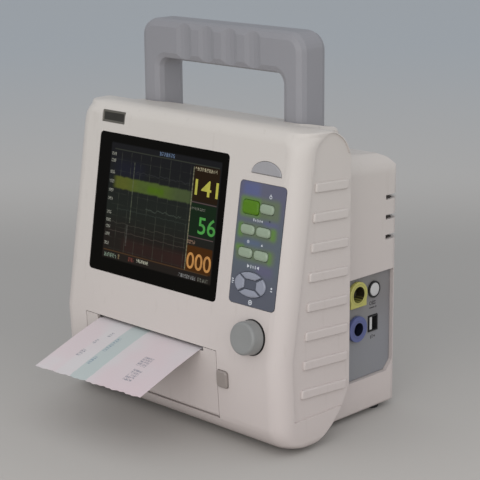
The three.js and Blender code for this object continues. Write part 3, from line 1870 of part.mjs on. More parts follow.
// Selector knob: the shaft turns with the knob, and pushes the plunger under it
function addKnob() {
  const at = { x: knobU, y: knobV };
  const bodyLow = keyBoardFront + gap;
  const body = prism(
    roundedRect(encoderWidth, encoderWidth, 2 * gap, knobU, knobV),
    bodyLow,
    -encoderFront,
    { steps: 1 },
  );
  const collar = rod(
    knobU,
    knobV,
    -encoderFront - gap,
    bushingLength - encoderFront,
    bushingRadius,
    { steps: 20 },
  );
  const bore = rod(knobU, knobV, bodyLow - overrun, overrun, shaftRadius + gap, { steps: 20 });
  place(face, 'encoder_body', body.add(collar).subtract(bore), finish.steel);
  const shaftFoot = -shaftInner;
  const shaft = rod(knobU, knobV, shaftFoot, shaftReach, shaftRadius, { steps: 20 });
  const flat = block(
    knobU + shaftRadius / 2,
    knobU + shaftRadius + overrun,
    knobV - shaftRadius - overrun,
    knobV + shaftRadius + overrun,
    bushingLength,
    shaftReach + overrun,
  );
  place(face, 'encoder_shaft', shaft.subtract(flat), finish.steel);
  const plunger = rod(
    knobU,
    knobV,
    shaftFoot - gap - plungerLength,
    shaftFoot - gap,
    shaftRadius,
    { steps: 20 },
  );
  place(face, 'encoder_plunger', plunger, finish.white);
  const base = knobStandOff;
  const top = base + knobDepth;
  const hub = shaftRadius + gap;
  const profile = [
    [hub, base + knobHubDepth / 2],
    [bushingRadius + gap + knobWall, base + knobHubDepth / 2],
    [bushingRadius + gap + knobWall, base + knobHubDepth],
    [knobRadius - knobWall, base + knobHubDepth],
    [knobRadius - knobWall, base],
    [knobRadius, base],
    [knobRadius - knobTaper, top - knobEdge],
    [knobRadius - knobTaper - knobEdge / 3, top - knobEdge / 3],
    [knobRadius - knobTaper - knobEdge, top],
    [0, top + knobTaper / 2],
    [0, shaftReach + gap],
    [hub, shaftReach + gap],
    [hub, base + knobHubDepth / 2],
  ];
  place(face, 'selector_knob', turned(profile, { ...at, steps: 32 }), finish.knob);
}
addKnob();

// Recorder: door, platen, gears, motor, head, paper
function addRecorder() {
  place(housing, 'recorder_door', doorSolid(), finish.shell);
  const shaftHalf = earOuter + earGap + gearWidth + gap;
  const shaft = rod(
    platenY,
    platenHeight,
    printerX - shaftHalf,
    printerX + earOuter + gap,
    platenShaftRadius,
    { frame: sideFrame, steps: 14 },
  );
  const sleeve = rodAcross(platenY, platenHeight, platenLength / 2, platenRadius, 28);
  const sleeveBore = rodAcross(
    platenY,
    platenHeight,
    platenLength / 2 + overrun,
    platenShaftRadius + gap,
    14,
  );
  place(housing, 'platen_shaft', shaft, finish.steel);
  place(housing, 'platen_roller', sleeve.subtract(sleeveBore), finish.rubber);
  const halfTooth = 180 * degree / driveTeeth;
  const gearLow = printerX - gearOuter;
  const gearHigh = printerX - gearInner;
  const platenGear = prism(
    gearShape(platenTeeth, 0),
    gearLow,
    gearHigh,
    { frame: shifted(platenY, platenHeight) },
  );
  const platenBore = rod(
    platenY,
    platenHeight,
    gearLow - overrun,
    gearHigh + overrun,
    platenShaftRadius + gap,
    { frame: sideFrame, steps: 14 },
  );
  place(housing, 'platen_gear', platenGear.subtract(platenBore), finish.gear);
  const driveGear = prism(gearShape(driveTeeth, 180 * degree + halfTooth), gearLow, gearHigh, {
    frame: shifted(driveY, platenHeight),
  });
  const plateOuter = printerX - chassisHalfWidth;
  const driveShaft = rod(
    driveY,
    platenHeight,
    plateOuter - gap - chassisThickness,
    gearHigh,
    motorShaftRadius,
    { frame: sideFrame, steps: 12 },
  );
  place(housing, 'drive_gear', driveGear.add(driveShaft), finish.gear);
  const motorFace = plateOuter - gap;
  const motor = rod(
    driveY,
    platenHeight,
    motorFace - motorLength,
    motorFace,
    motorRadius,
    { frame: sideFrame, steps: 28 },
  );
  const motorBore = rod(
    driveY,
    platenHeight,
    motorFace - motorLength / 2,
    motorFace + overrun,
    motorShaftRadius + gap,
    { frame: sideFrame, steps: 12 },
  );
  place(housing, 'stepper_motor', motor.subtract(motorBore), finish.steel);
  place(housing, 'recorder_chassis', chassisSolid(), finish.steel);
  place(housing, 'print_head', headSolid(), finish.black);
  place(housing, 'paper_pack', packSolid(), finish.paper);
  place(housing, 'paper_strip', paperSolid(), finish.paper);
  const cap = prism(latchOutline(0), -wall - gap, latchProud, { bevel: latchEdge, steps: 2 });
  const flange = roundedRect(
    latchWidth + 2 * gap,
    latchHeight + 2 * latchFlange,
    latchCorner,
    latchX,
    -latchDrop,
  );
  const skirt = prism(flange, -wall - gap - latchFlange, -wall - gap, { steps: 2 });
  const stem = rod(
    latchX,
    -latchDrop,
    -wall - gap - latchFlange - latchStem,
    -wall - gap,
    latchStem,
    { steps: 12 },
  );
  place(chin, 'door_latch', join([cap, skirt, stem]), finish.latch);
}
addRecorder();

// Connector plate, sockets and ports on the right side
function addConnectors() {
  const plate = prism(connectorOutline(0), plateBack, plateFace, { frame: sideFrame });
  const socketHole = (y, z, radius) => prism(
    circle(y, z, radius + gap),
    plateBack - overrun,
    plateFace + overrun,
    { frame: sideFrame, steps: 10 },
  );
  const ringHole = socketHole(portY, upperSocketHeight, ringPortRadius - ringPortRim);
  const dataHole = prism(
    roundedRect(dataPortWidth + 2 * gap, dataPortHeight + 2 * gap, gap, portY, lowerSocketHeight),
    plateBack - overrun,
    plateFace + overrun,
    { frame: sideFrame, steps: 1 },
  );
  const holes = [
    socketHole(socketY, upperSocketHeight, socketBodyRadius),
    socketHole(socketY, lowerSocketHeight, socketBodyRadius),
    ringHole,
    dataHole,
  ];
  place(housing, 'connector_plate', cut(plate, holes), finish.connectorPlate);

  const seat = plateFace + gap;
  const socket = (flange, height, boreRadius) => {
    const frame = shifted(socketY, height);
    const front = prism(flange, seat, seat + socketFlangeThickness, { frame, bevel: gap, steps: 10 });
    const body = rod(0, 0, seat - socketDepth, seat + gap, socketBodyRadius, { frame, steps: 20 });
    const mouth = seat + socketFlangeThickness;
    const bore = rod(0, 0, mouth - socketBoreDepth, mouth + overrun, boreRadius, { frame, steps: 18 });
    const core = rod(
      0,
      0,
      mouth - socketBoreDepth - gap,
      mouth - socketCoreDrop,
      boreRadius / 2,
      { frame, steps: 12 },
    );
    return front.add(body).subtract(bore).add(core);
  };
  place(
    housing,
    'ultrasound_socket',
    socket(keyedFlange(0), upperSocketHeight, yellowBoreRadius),
    finish.yellow,
  );
  place(
    housing,
    'toco_socket',
    socket(circle(0, 0, socketFlangeRadius), lowerSocketHeight, blueBoreRadius),
    finish.blue,
  );

  const ringFrame = shifted(portY, upperSocketHeight);
  const capRadius = ringPortRadius - ringPortRim;
  const sleeveRadius = capRadius - ringPortRim;
  const ringFlange = rod(
    0,
    0,
    seat,
    seat + ringPortProud,
    ringPortRadius,
    { frame: ringFrame, steps: 20 },
  );
  const ringSleeve = rod(
    0,
    0,
    seat - dataPortDepth,
    seat + gap,
    capRadius,
    { frame: ringFrame, steps: 20 },
  );
  const ringBore = rod(
    0,
    0,
    seat - dataPortDepth + ringPortRim,
    seat + overrun,
    sleeveRadius,
    { frame: ringFrame, steps: 20 },
  );
  const ringMouth = rod(0, 0, seat + gap, seat + overrun, capRadius, { frame: ringFrame, steps: 20 });
  place(
    housing,
    'marker_port',
    ringFlange.add(ringSleeve).subtract(ringBore).subtract(ringMouth),
    finish.black,
  );
  const capPlug = turned([
    [0, seat - dataPortDepth / 2],
    [sleeveRadius - gap, seat - dataPortDepth / 2],
    [sleeveRadius - gap, seat + 2 * gap],
    [capRadius - gap, seat + 2 * gap],
    [capRadius - gap, seat + ringPortProud],
    [capRadius - ringPortRim, seat + ringPortProud + gap],
    [0, seat + ringPortProud + 2 * gap],
  ], { frame: ringFrame, steps: 20 });
  place(housing, 'marker_port_cap', capPlug, finish.white);

  const dataFrame = shifted(portY, lowerSocketHeight);
  const shell = prism(
    roundedRect(dataPortWidth, dataPortHeight, gap),
    seat - dataPortDepth,
    plateFace + dataPortProud,
    { frame: dataFrame, steps: 1 },
  );
  const mouth = block(
    dataPortRim - dataPortWidth / 2,
    dataPortWidth / 2 - dataPortRim,
    dataPortRim - dataPortHeight / 2,
    dataPortHeight / 2 - dataPortRim,
    seat - dataPortDepth + dataPortRim,
    seat + overrun,
    dataFrame,
  );
  place(housing, 'data_port', shell.subtract(mouth), finish.black);
  const inner = dataPortWidth / 2 - dataPortRim - gap;
  const tongue = block(
    -inner,
    -inner + 2 * inner * dataTongueShare,
    gap + dataPortRim - dataPortHeight / 2,
    dataPortHeight / 2 - dataPortRim - gap,
    seat - dataPortDepth + dataPortRim + gap,
    plateFace,
    dataFrame,
  );
  place(housing, 'data_port_tongue', tongue, finish.white);
}
addConnectors();

// Power supply, battery, loudspeaker, inlet and earth stud
function addPower() {
  const back = rearY - wall - gap;
  const low = supplyX - supplyWidth / 2;
  const supplyBoard = block(
    low,
    low + supplyWidth,
    back - supplyPlate,
    back,
    supplyBase,
    supplyBase + supplyHeight,
  );
  const partShares = [
    [0.06, 0.1, 0.3, 0.42, 0.95],
    [0.42, 0.1, 0.26, 0.35, 0.8],
    [0.74, 0.12, 0.2, 0.75, 0.6],
    [0.08, 0.58, 0.22, 0.32, 0.7],
    [0.4, 0.55, 0.26, 0.34, 1],
  ];
  const parts = partShares.map(([u, v, w, h, deep]) => block(
    low + u * supplyWidth,
    low + (u + w) * supplyWidth,
    back - supplyPlate - deep * supplyDepth,
    back - supplyPlate / 2,
    supplyBase + v * supplyHeight,
    supplyBase + (v + h) * supplyHeight,
  ));
  place(housing, 'power_supply', join([supplyBoard, ...parts]), finish.board);

  const floor = footHeight + wall + gap;
  const cells = prism(
    roundedRect(batteryWidth, batteryHeight, wall, batteryX, floor + batteryHeight / 2),
    -batteryFrontY - batteryDepth,
    -batteryFrontY,
    { frame: frontFrame, steps: 3 },
  );
  place(housing, 'battery_pack', cells, finish.battery);
  const cover = block(
    batteryX - coverHalfWidth + gap,
    batteryX + coverHalfWidth - gap,
    coverFrontY + gap,
    coverRearY - gap,
    footHeight,
    footHeight + coverThickness - gap,
  );
  place(housing, 'battery_cover', cover, finish.shell);

  const speakerSeat = -rearHalfWidth + wall + gap;
  const magnet = speakerRadius * speakerMagnetShare;
  const speaker = turned([
    [0, speakerSeat + wall],
    [speakerRadius - wall, speakerSeat + gap],
    [speakerRadius - wall, speakerSeat],
    [speakerRadius, speakerSeat],
    [speakerRadius, speakerSeat + wall / 2],
    [magnet, speakerSeat + speakerDepth / 2],
    [magnet, speakerSeat + speakerDepth],
    [0, speakerSeat + speakerDepth],
  ], { frame: shifted(speakerY, speakerHeight), steps: 24 });
  place(housing, 'loudspeaker', speaker, finish.black);

  const rearFace = -rearY - gap;
  const flange = prism(roundedRect(
    inletWidth,
    inletTall,
    inletFlange,
    inletX,
    inletHeight,
  ), rearFace - inletFlange, rearFace, {
    frame: frontFrame,
    bevel: gap,
    steps: 3,
  });
  const bodyWidth = inletWidth - 2 * inletFlange;
  const bodyHeight = inletTall - 2 * inletFlange;
  const body = prism(
    roundedRect(bodyWidth, bodyHeight, gap, inletX, inletHeight),
    rearFace - gap,
    rearFace + inletDepth,
    { frame: frontFrame, steps: 1 },
  );
  const mouth = prism(
    polygon([
      [inletX - inletMouthWidth / 2, inletHeight - inletMouthHeight / 2],
      [inletX + inletMouthWidth / 2, inletHeight - inletMouthHeight / 2],
      [inletX + inletMouthWidth / 2, inletHeight + inletMouthHeight / 4],
      [inletX + inletMouthWidth / 4, inletHeight + inletMouthHeight / 2],
      [inletX - inletMouthWidth / 4, inletHeight + inletMouthHeight / 2],
      [inletX - inletMouthWidth / 2, inletHeight + inletMouthHeight / 4],
    ]),
    rearFace - inletFlange - overrun,
    rearFace - inletFlange + inletMouthDepth,
    { frame: frontFrame },
  );
  const pins = [-1, 0, 1].map((i) => block(
    inletX + i * inletPinPitch - inletPinWidth / 2,
    inletX + i * inletPinPitch + inletPinWidth / 2,
    inletHeight - inletPinHeight / 2 + (i === 0 ? inletPinHeight / 2 : 0),
    inletHeight + inletPinHeight / 2 + (i === 0 ? inletPinHeight / 2 : 0),
    rearFace,
    rearFace - inletFlange + inletMouthDepth + gap,
    frontFrame,
  ));
  place(housing, 'mains_inlet', flange.add(body).subtract(mouth).add(join(pins)), finish.black);

  const stud = turned([
    [0, rearFace + gap - studLength],
    [studRadius, rearFace + gap - studLength],
    [studRadius, rearFace - studCollarLength],
    [studCollar, rearFace - studCollarLength],
    [studCollar, rearFace],
    [studRadius, rearFace],
    [studRadius, rearFace + wall + studCollarLength],
    [0, rearFace + wall + studCollarLength],
  ], { x: studX, y: inletHeight, frame: frontFrame, steps: 16 });
  place(housing, 'earth_stud', stud, finish.brass);
}
addPower();

// Feet and case screws
function addFeet() {
  const places = {
    foot_front_left: [-frontFootX, frontFootY],
    foot_front_right: [frontFootX, frontFootY],
    foot_rear_left: [-rearFootX, rearFootY],
    foot_rear_right: [rearFootX, rearFootY],
  };
  Object.entries(places).forEach(([name, [x, y]]) => {
    place(
      housing,
      name,
      rod(x, y, 0, footHeight - gap, footSoleRadius, { topRadius: footRadius, steps: 24 }),
      finish.rubber,
    );
  });
}
addFeet();

function addScrews() {
  const names = [
    'case_screw_low_left',
    'case_screw_low_right',
    'case_screw_high_left',
    'case_screw_high_right',
  ];
  screwPlaces().forEach(([x, z], index) => {
    const seat = -rearFrontFace - screwSeatDepth - gap;
    const head = rod(
      x,
      z,
      seat - screwHeadLength,
      seat,
      screwHeadRadius,
      { frame: frontFrame, steps: 18 },
    );
    const shank = rod(
      x,
      z,
      seat - gap,
      seat + screwLength + screwSeatDepth,
      screwRadius,
      { frame: frontFrame, steps: 12 },
    );
    const socket = rod(
      x,
      z,
      seat - screwHeadLength - gap,
      seat - screwHeadLength / 2,
      screwRadius,
      { frame: frontFrame, steps: 6 },
    );
    place(housing, names[index], head.add(shank).subtract(socket), finish.steel);
  });
}
addScrews();

export default monitor;
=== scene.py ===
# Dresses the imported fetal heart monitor: soft edges, finishes, screen picture, keys, paper, light and camera.
# Metres throughout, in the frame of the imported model. Face frame: x right, y up the leaning face, z out of it.
# Sizes are in millimetres, tones 0 to 255. A mottle is a noise's scale and detail, an edge a place and blur,
# uneven the least roughness, spread and scale, a grain its scale and depth, a box left, right, low and high.
import json
import math

import bmesh
import bpy
from mathutils import Matrix, Vector


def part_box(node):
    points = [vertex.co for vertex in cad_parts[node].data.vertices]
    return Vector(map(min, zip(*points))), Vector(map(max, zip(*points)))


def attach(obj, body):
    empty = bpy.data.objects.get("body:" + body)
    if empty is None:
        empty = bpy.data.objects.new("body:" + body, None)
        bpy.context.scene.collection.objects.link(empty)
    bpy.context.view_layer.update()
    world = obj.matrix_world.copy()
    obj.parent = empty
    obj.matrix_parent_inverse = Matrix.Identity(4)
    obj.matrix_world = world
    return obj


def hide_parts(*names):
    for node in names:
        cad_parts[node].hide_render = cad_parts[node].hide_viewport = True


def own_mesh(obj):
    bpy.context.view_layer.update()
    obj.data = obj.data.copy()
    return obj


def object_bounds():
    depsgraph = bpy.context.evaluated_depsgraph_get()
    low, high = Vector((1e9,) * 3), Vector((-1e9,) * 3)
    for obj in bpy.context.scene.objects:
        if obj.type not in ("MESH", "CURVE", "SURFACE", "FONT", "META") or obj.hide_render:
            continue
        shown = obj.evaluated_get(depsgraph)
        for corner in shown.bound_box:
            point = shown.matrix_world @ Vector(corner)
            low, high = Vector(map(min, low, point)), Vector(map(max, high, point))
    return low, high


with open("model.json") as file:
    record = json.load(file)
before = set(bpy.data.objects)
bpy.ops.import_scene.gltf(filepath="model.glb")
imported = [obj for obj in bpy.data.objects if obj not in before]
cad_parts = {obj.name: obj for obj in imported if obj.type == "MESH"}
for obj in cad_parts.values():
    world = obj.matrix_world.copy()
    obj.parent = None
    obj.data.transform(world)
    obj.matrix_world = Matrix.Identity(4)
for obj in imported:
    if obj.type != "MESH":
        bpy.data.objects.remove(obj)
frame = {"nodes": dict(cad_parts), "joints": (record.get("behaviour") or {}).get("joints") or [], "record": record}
cadLow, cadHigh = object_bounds()
nodes = frame["nodes"]
record = frame["record"]
joints = {joint["name"]: joint for joint in frame["joints"]}
bodyOf = {node: body for body, members in record["behaviour"]["bodies"].items() for node in members}
mm = 0.001
perMm = 1000
print("stage: frame loaded,", len(nodes), "nodes")

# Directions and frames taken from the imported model
across = Vector((1, 0, 0))
rearward = Vector((0, 1, 0))
upward = Vector((0, 0, 1))
faceOut = -Vector(joints["power_key_press"]["axis"]).normalized()
faceUp = faceOut.cross(across)


class Sizes(dict):
    # a dictionary whose entries also read as attributes
    __getattr__ = dict.__getitem__


def middleOf(node):
    low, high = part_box(node)
    return (low + high) / 2


def reach(node, direction, start):
    return max((vertex.co - start).dot(direction) for vertex in nodes[node].data.vertices)


def frameAt(start, right, up):
    place = Matrix((right, up, right.cross(up))).transposed().to_4x4()
    place.translation = start
    return place


windowMiddle = middleOf("display_window")
faceStart = windowMiddle + faceOut * reach("display_window", faceOut, windowMiddle)
onFace = frameAt(faceStart, across, faceUp)


def faceAt(u, v, node, above):
    # a frame on a node's front face, at a place in millimetres from the window's middle
    return onFace @ Matrix.Translation((u * mm, v * mm, reach(node, faceOut, faceStart) + above * mm))


def boxAround(u, v, half):
    return u - half[0], u + half[0], v - half[1], v + half[1]


def onFaceOf(point):
    # a point's place on the face, in millimetres
    away = (point - faceStart) * perMm
    return away.dot(across), away.dot(faceUp), away.dot(faceOut)


# Shader maths as expressions
class Wire:
    def __init__(self, paint, socket):
        self.paint = paint
        self.socket = socket

    def joined(self, operation, *others):
        return self.paint.node("Math", {"operation": operation}, dict(enumerate((self, *others))))

    def __add__(self, other):
        return self.joined("ADD", other)

    def __sub__(self, other):
        return self.joined("SUBTRACT", other)

    def __mul__(self, other):
        return self.joined("MULTIPLY", other)

    def __rsub__(self, other):
        return self.paint.node("Math", {"operation": "SUBTRACT"}, {0: other, 1: self})

    __radd__ = __add__
    __rmul__ = __mul__


def ink(red, green, blue):
    # a colour as a picture shows it, 0 to 255, turned into light
    shares = [value / 255 for value in (red, green, blue)]
    return (*[s / 12.92 if s < 0.04045 else ((s + 0.055) / 1.055) ** 2.4 for s in shares], 1.0)


letters = Sizes(cells=4, gap=20, inked=(0.42, 0.05), blur=0.1)
curves = Sizes(detail=4, blur=0.3)


class Paint:
    def __init__(self, name, group=bpy.data.materials):
        self.owner = group.new(name)
        self.owner.use_nodes = True
        self.tree = self.owner.node_tree
        self.tree.nodes.clear()
        self.place = self.node("TexCoord", {}, {}, "Object")

    def node(self, kind, settings, inputs, output=0):
        made = self.tree.nodes.new("ShaderNode" + kind)
        for name, value in settings.items():
            setattr(made, name, value)
        for name, value in inputs.items():
            if isinstance(value, Wire):
                self.tree.links.new(value.socket, made.inputs[name])
            else:
                made.inputs[name].default_value = value
        return Wire(self, made.outputs[output])

    def along(self, direction, start=Vector()):
        # millimetres from start along a direction
        turned = direction * perMm
        dot = self.node("VectorMath", {"operation": "DOT_PRODUCT"}, {0: self.place, 1: turned}, "Value")
        return dot - start.dot(turned)

    def around(self, node):
        # rearward and up from a node's middle
        middle = middleOf(node)
        return self.along(rearward, middle), self.along(upward, middle)

    def onFace(self, start=faceStart):
        return self.along(across, start), self.along(faceUp, start)

    def noise(self, scale, detail=2.0, place=None):
        values = {"Vector": place or self.place, "Scale": scale, "Detail": detail}
        return self.node("TexNoise", {}, values, "Fac")

    def streaks(self, stretch, detail=4):
        # noise drawn out along one direction
        place = self.node("Mapping", {}, {"Vector": self.place, "Scale": stretch}, "Vector")
        return self.noise(1, detail, place)

    def random(self, u, v, cell):
        # one value for each square cell
        corner = {0: u.joined("SNAP", cell), 1: v.joined("SNAP", cell)}
        spot = self.node("CombineXYZ", {}, corner, "Vector")
        return self.node("TexWhiteNoise", {"noise_dimensions": "2D"}, {"Vector": spot}, "Value")

    def wave(self, value, scale, detail):
        settings = {"noise_dimensions": "1D"}
        return self.node("TexNoise", settings, {"W": value, "Scale": scale, "Detail": detail}, "Fac")

    def sway(self, value, swing, scale, detail):
        return swing * (self.wave(value, scale, detail) - 0.5)

    def broken(self, value, least, scale, edge):
        # a strength that fades in and out along a line
        return least + (1 - least) * self.rise(self.wave(value, scale, 3), *edge)

    def rise(self, value, edge, blur):
        values = {"Value": value, "From Min": edge - blur / 2, "From Max": edge + blur / 2}
        return self.node("MapRange", {"interpolation_type": "SMOOTHSTEP"}, values, "Result")

    def between(self, value, low, high, blur):
        return self.rise(value, low, blur) * (1 - self.rise(value, high, blur))

    def panel(self, u, v, box, blur, blurUp=None):
        return self.between(u, box[0], box[1], blur) * self.between(v, box[2], box[3], blurUp or blur)

    def rounded(self, u, v, box, corner, blur):
        # share inside a box with round corners
        beyond = [
            ((value - (low + high) / 2).joined("ABSOLUTE") - ((high - low) / 2 - corner)).joined("MAXIMUM", 0.0)
            for value, low, high in ((u, box[0], box[1]), (v, box[2], box[3]))
        ]
        return 1 - self.rise(self.radius(*beyond), corner, blur)

    def radius(self, u, v):
        return (u * u + v * v).joined("SQRT")

    def lines(self, value, pitch, width, blur):
        return 1 - self.rise(value.joined("PINGPONG", pitch / 2), width / 2, blur)

    def scribble(self, u, v, box, letter):
        # a row of marks too small to read, one group of cells for each letter
        inked = self.rise(self.random(u, v, letter / letters.cells), *letters.inked)
        gaps = 1 - self.lines(u, letter, letter / letters.cells, letter / letters.gap)
        return inked * gaps * self.panel(u, v, box, letters.blur)

    def trace(self, u, v, middle, swing, scale, width, ends):
        # a thin recorded curve between two ends
        height = middle + self.sway(u, swing, scale, curves.detail)
        drawn = 1 - self.rise((v - height).joined("ABSOLUTE"), width / 2, width)
        return drawn * self.between(u, *ends, curves.blur)

    def mix(self, share, first, second):
        return self.node("Mix", {"data_type": "RGBA"}, {0: share, 6: first, 7: second}, 2)

    def blend(self, share, tones):
        return self.mix(share, ink(*tones[0]), ink(*tones[1]))

    def cloud(self, tones, scale, detail=3):
        # two tones mottled together
        return self.blend(self.noise(scale, detail), tones)

    def cover(self, tone, share, over, most=None):
        return self.mix(share * most if most else share, tone, ink(*over))

    def worn(self, tone, over, most, *mottle):
        return self.cover(tone, self.noise(*mottle), over, most)

    def uneven(self, least, spread, scale, detail=2):
        return least + spread * self.noise(scale, detail)

    def bump(self, height, depth, under=None):
        values = {"Height": height, "Distance": depth * mm}
        if under:
            values["Normal"] = under
        return self.node("Bump", {}, values, "Normal")

    def grain(self, scale, depth, detail=2):
        return self.bump(self.noise(scale, detail), depth)

    def surface(self, tone, rough, grain, more=None):
        # rough and grain as their sizes or as finished sockets
        values = {"Base Color": tone, "Roughness": rough, **(more or {})}
        if isinstance(rough, tuple):
            values["Roughness"] = self.uneven(*rough)
        if grain:
            values["Normal"] = self.grain(*grain) if isinstance(grain, tuple) else grain
        return self.finished(self.node("BsdfPrincipled", {}, values, "BSDF"), "Material")

    def finished(self, shader, kind):
        output = self.tree.nodes.new("ShaderNodeOutput" + kind)
        self.tree.links.new(shader.socket, output.inputs["Surface"])
        return self.owner


plastic = Sizes(rub=(38, 4), rubEdge=(0.62, 0.2), spread=0.10, coarser=4, shine=0.08)
plated = Sizes(
    dull=(70, 4), dullEdge=(0.55, 0.25), metallic=0.9, brushSpread=0.16, dullSpread=0.14, depth=0.012,
)


def moulded(name, tones, least, mottle=9, grain=1700, depth=0.03):
    # moulded plastic or rubber: mottled colour, fine spark grain and rubbed patches
    paint = Paint(name)
    rubbed = paint.rise(paint.noise(*plastic.rub), *plastic.rubEdge)
    rough = paint.uneven(least, plastic.spread, grain / plastic.coarser)
    return paint.surface(paint.cloud(tones, mottle), rough - plastic.shine * rubbed, (grain, depth))


def metal(name, tones, least, brush):
    # plated or drawn metal with a brushed direction and dull spots
    paint = Paint(name)
    brushed = paint.streaks(brush)
    dull = paint.rise(paint.noise(*plated.dull), *plated.dullEdge)
    return paint.surface(
        paint.blend(dull, tones),
        least + plated.brushSpread * brushed + plated.dullSpread * dull, paint.bump(brushed, plated.depth),
        {"Metallic": plated.metallic},
    )


# Meshes: a merged copy of a node, softened edges, and the finished piece
mend = Sizes(weld=0.002, flat=0.7, facing=0.99)


def merged(node):
    shape = bmesh.new()
    shape.from_mesh(nodes[node].data)
    bmesh.ops.remove_doubles(shape, verts=shape.verts, dist=mend.weld * mm)
    bmesh.ops.dissolve_limit(
        shape, angle_limit=math.radians(mend.flat), use_dissolve_boundaries=False,
        verts=shape.verts, edges=shape.edges, delimit={"NORMAL"},
    )
    return shape


def soften(shape, width, angle=32, segments=2, wanted=None):
    edges = [
        edge for edge in shape.edges
        if len(edge.link_faces) == 2 and edge.calc_face_angle() > math.radians(angle)
        and (wanted is None or wanted(edge))
    ]
    bmesh.ops.bevel(
        shape, geom=edges, offset=width * mm, offset_type="OFFSET", segments=segments,
        profile=0.5, affect="EDGES", clamp_overlap=True, material=-1,
    )
    return shape


def addCrown(shape, steps):
    # the largest face towards the front becomes a low crown, step by step inwards and up
    shape.normal_update()
    facing = [face for face in shape.faces if face.normal.dot(faceOut) > mend.facing]
    top = max(facing, key=lambda face: face.calc_area())
    for inset, rise in steps:
        bmesh.ops.inset_region(shape, faces=[top], thickness=inset * mm, use_even_offset=True)
        bmesh.ops.translate(shape, verts=top.verts[:], vec=faceOut * rise * mm)


def added(name, data):
    made = bpy.data.objects.new(name, data)
    bpy.context.scene.collection.objects.link(made)
    return made


def addedShape(name, shape, finish):
    mesh = bpy.data.meshes.new(name)
    shape.to_mesh(mesh)
    shape.free()
    mesh.materials.append(finish)
    return added(name, mesh)


def piece(name, shape, finish, body, replaced=None, like=None, sharp=38, flatten=True):
    # a finished piece, standing for the node it replaces, which is hidden
    for face in shape.faces:
        face.smooth = True
    for edge in shape.edges:
        edge.smooth = math.degrees(edge.calc_face_angle(0)) < sharp
    made = addedShape(name, shape, finish)
    if flatten:
        level = made.modifiers.new("level", "WEIGHTED_NORMAL")
        level.keep_sharp = True
    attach(made, body)
    if replaced:
        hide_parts(replaced)
    return made


def dressed(node, finish, width, segments=2, angle=32, sharp=38, crown=()):
    # a softened copy that stands for its node
    shape = merged(node)
    if crown:
        addCrown(shape, crown)
    soften(shape, width, angle, segments)
    piece(node + "_body", shape, finish, bodyOf[node], node, sharp=sharp)


def paintNode(node, finish):
    nodes[node].data.materials.clear()
    nodes[node].data.materials.append(finish)


# Casing
casing = Sizes(
    edge=0.35, doorEdge=0.12, coverEdge=0.3, doorRoom=1.5, bar=Sizes(width=1.2, angle=60, segments=3),
    barRoom=0.05, upperTone=((193, 187, 181), (199, 193, 187)), lowerTone=((190, 180, 177), (196, 186, 183)),
    mottle=7, slope=Vector((-0.35, 0, 1)), slopeEdge=(120, 280), streak=(220, 220, 26), streakDetail=5,
    streakEdge=(0.66, 0.12), streakShare=0.10, streakShine=0.06, dust=(150, 140, 130), dustEdge=(12, 20),
    dustMottle=(60, 4), dustShare=0.25, uneven=(0.43, 0.10, 420), grain=(2100, 0.028),
)
handle = Sizes(
    look=Sizes(tones=((133, 132, 137), (142, 141, 145)), least=0.40, grain=1500, depth=0.035),
    flute=Sizes(width=0.8, angle=12, segments=1), upright=0.98, front=3, sharp=9,
)
latch = Sizes(look=Sizes(tones=((136, 127, 123), (146, 137, 132)), least=0.38), edge=0.35, segments=3)


def casingFinish():
    # ivory plastic, a little pinker low down and to the right, with faint scuffs, and a mottled brown darkening
    # close to the table that is dust and painted shade
    paint = Paint("ivoryCasing")
    height = paint.rise(paint.along(casing.slope), *casing.slopeEdge)
    tone = paint.mix(height, *[paint.cloud(casing[name], casing.mottle) for name in ("lowerTone", "upperTone")])
    streak = paint.rise(paint.streaks(casing.streak, casing.streakDetail), *casing.streakEdge)
    # painted shade with dust: the casing turns browner and darker in its lowest 12 to 20 millimetres
    dust = (1 - paint.rise(paint.along(upward), *casing.dustEdge)) * paint.noise(*casing.dustMottle)
    worn = casing.streakShare * streak + casing.dustShare * dust
    rough = paint.uneven(*casing.uneven) - casing.streakShine * streak
    return paint.surface(paint.cover(tone, worn, casing.dust), rough, casing.grain)


def barEdge(edge):
    # the outer rims of the grip bars on both sides
    return min(abs(vertex.co.x) for vertex in edge.verts) > cadHigh.x - casing.barRoom * mm


doorLow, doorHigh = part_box("recorder_door")


def clearOfDoor(edge):
    # the seams round the recorder door stay crisp
    room = casing.doorRoom * mm
    return not all(
        doorLow[axis] - room < vertex.co[axis] < doorHigh[axis] + room
        for vertex in edge.verts for axis in range(3)
    )


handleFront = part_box("carrying_handle")[0].y + handle.front * mm


def fluteEdge(edge):
    # the upright edges of the shallow flutes across the grip
    ends = [vertex.co for vertex in edge.verts]
    upright = abs((ends[0] - ends[1]).normalized().z) > handle.upright
    return upright and max(end.y for end in ends) < handleFront


ivory = casingFinish()
frontShape = soften(merged("front_housing"), wanted=barEdge, **casing.bar)
soften(frontShape, casing.edge, wanted=clearOfDoor)
piece("front_housing_body", frontShape, ivory, "housing", "front_housing")
dressed("rear_housing", ivory, casing.edge)
dressed("recorder_door", ivory, casing.doorEdge)
dressed("battery_cover", ivory, casing.coverEdge)
handleShape = soften(merged("carrying_handle"), wanted=fluteEdge, **handle.flute)
greyHandle = moulded("greyHandle", **handle.look)
piece("carrying_handle_body", handleShape, greyHandle, "housing", "carrying_handle", sharp=handle.sharp)
dressed("door_latch", moulded("greyLatch", **latch.look), latch.edge, latch.segments)
print("stage: casing")

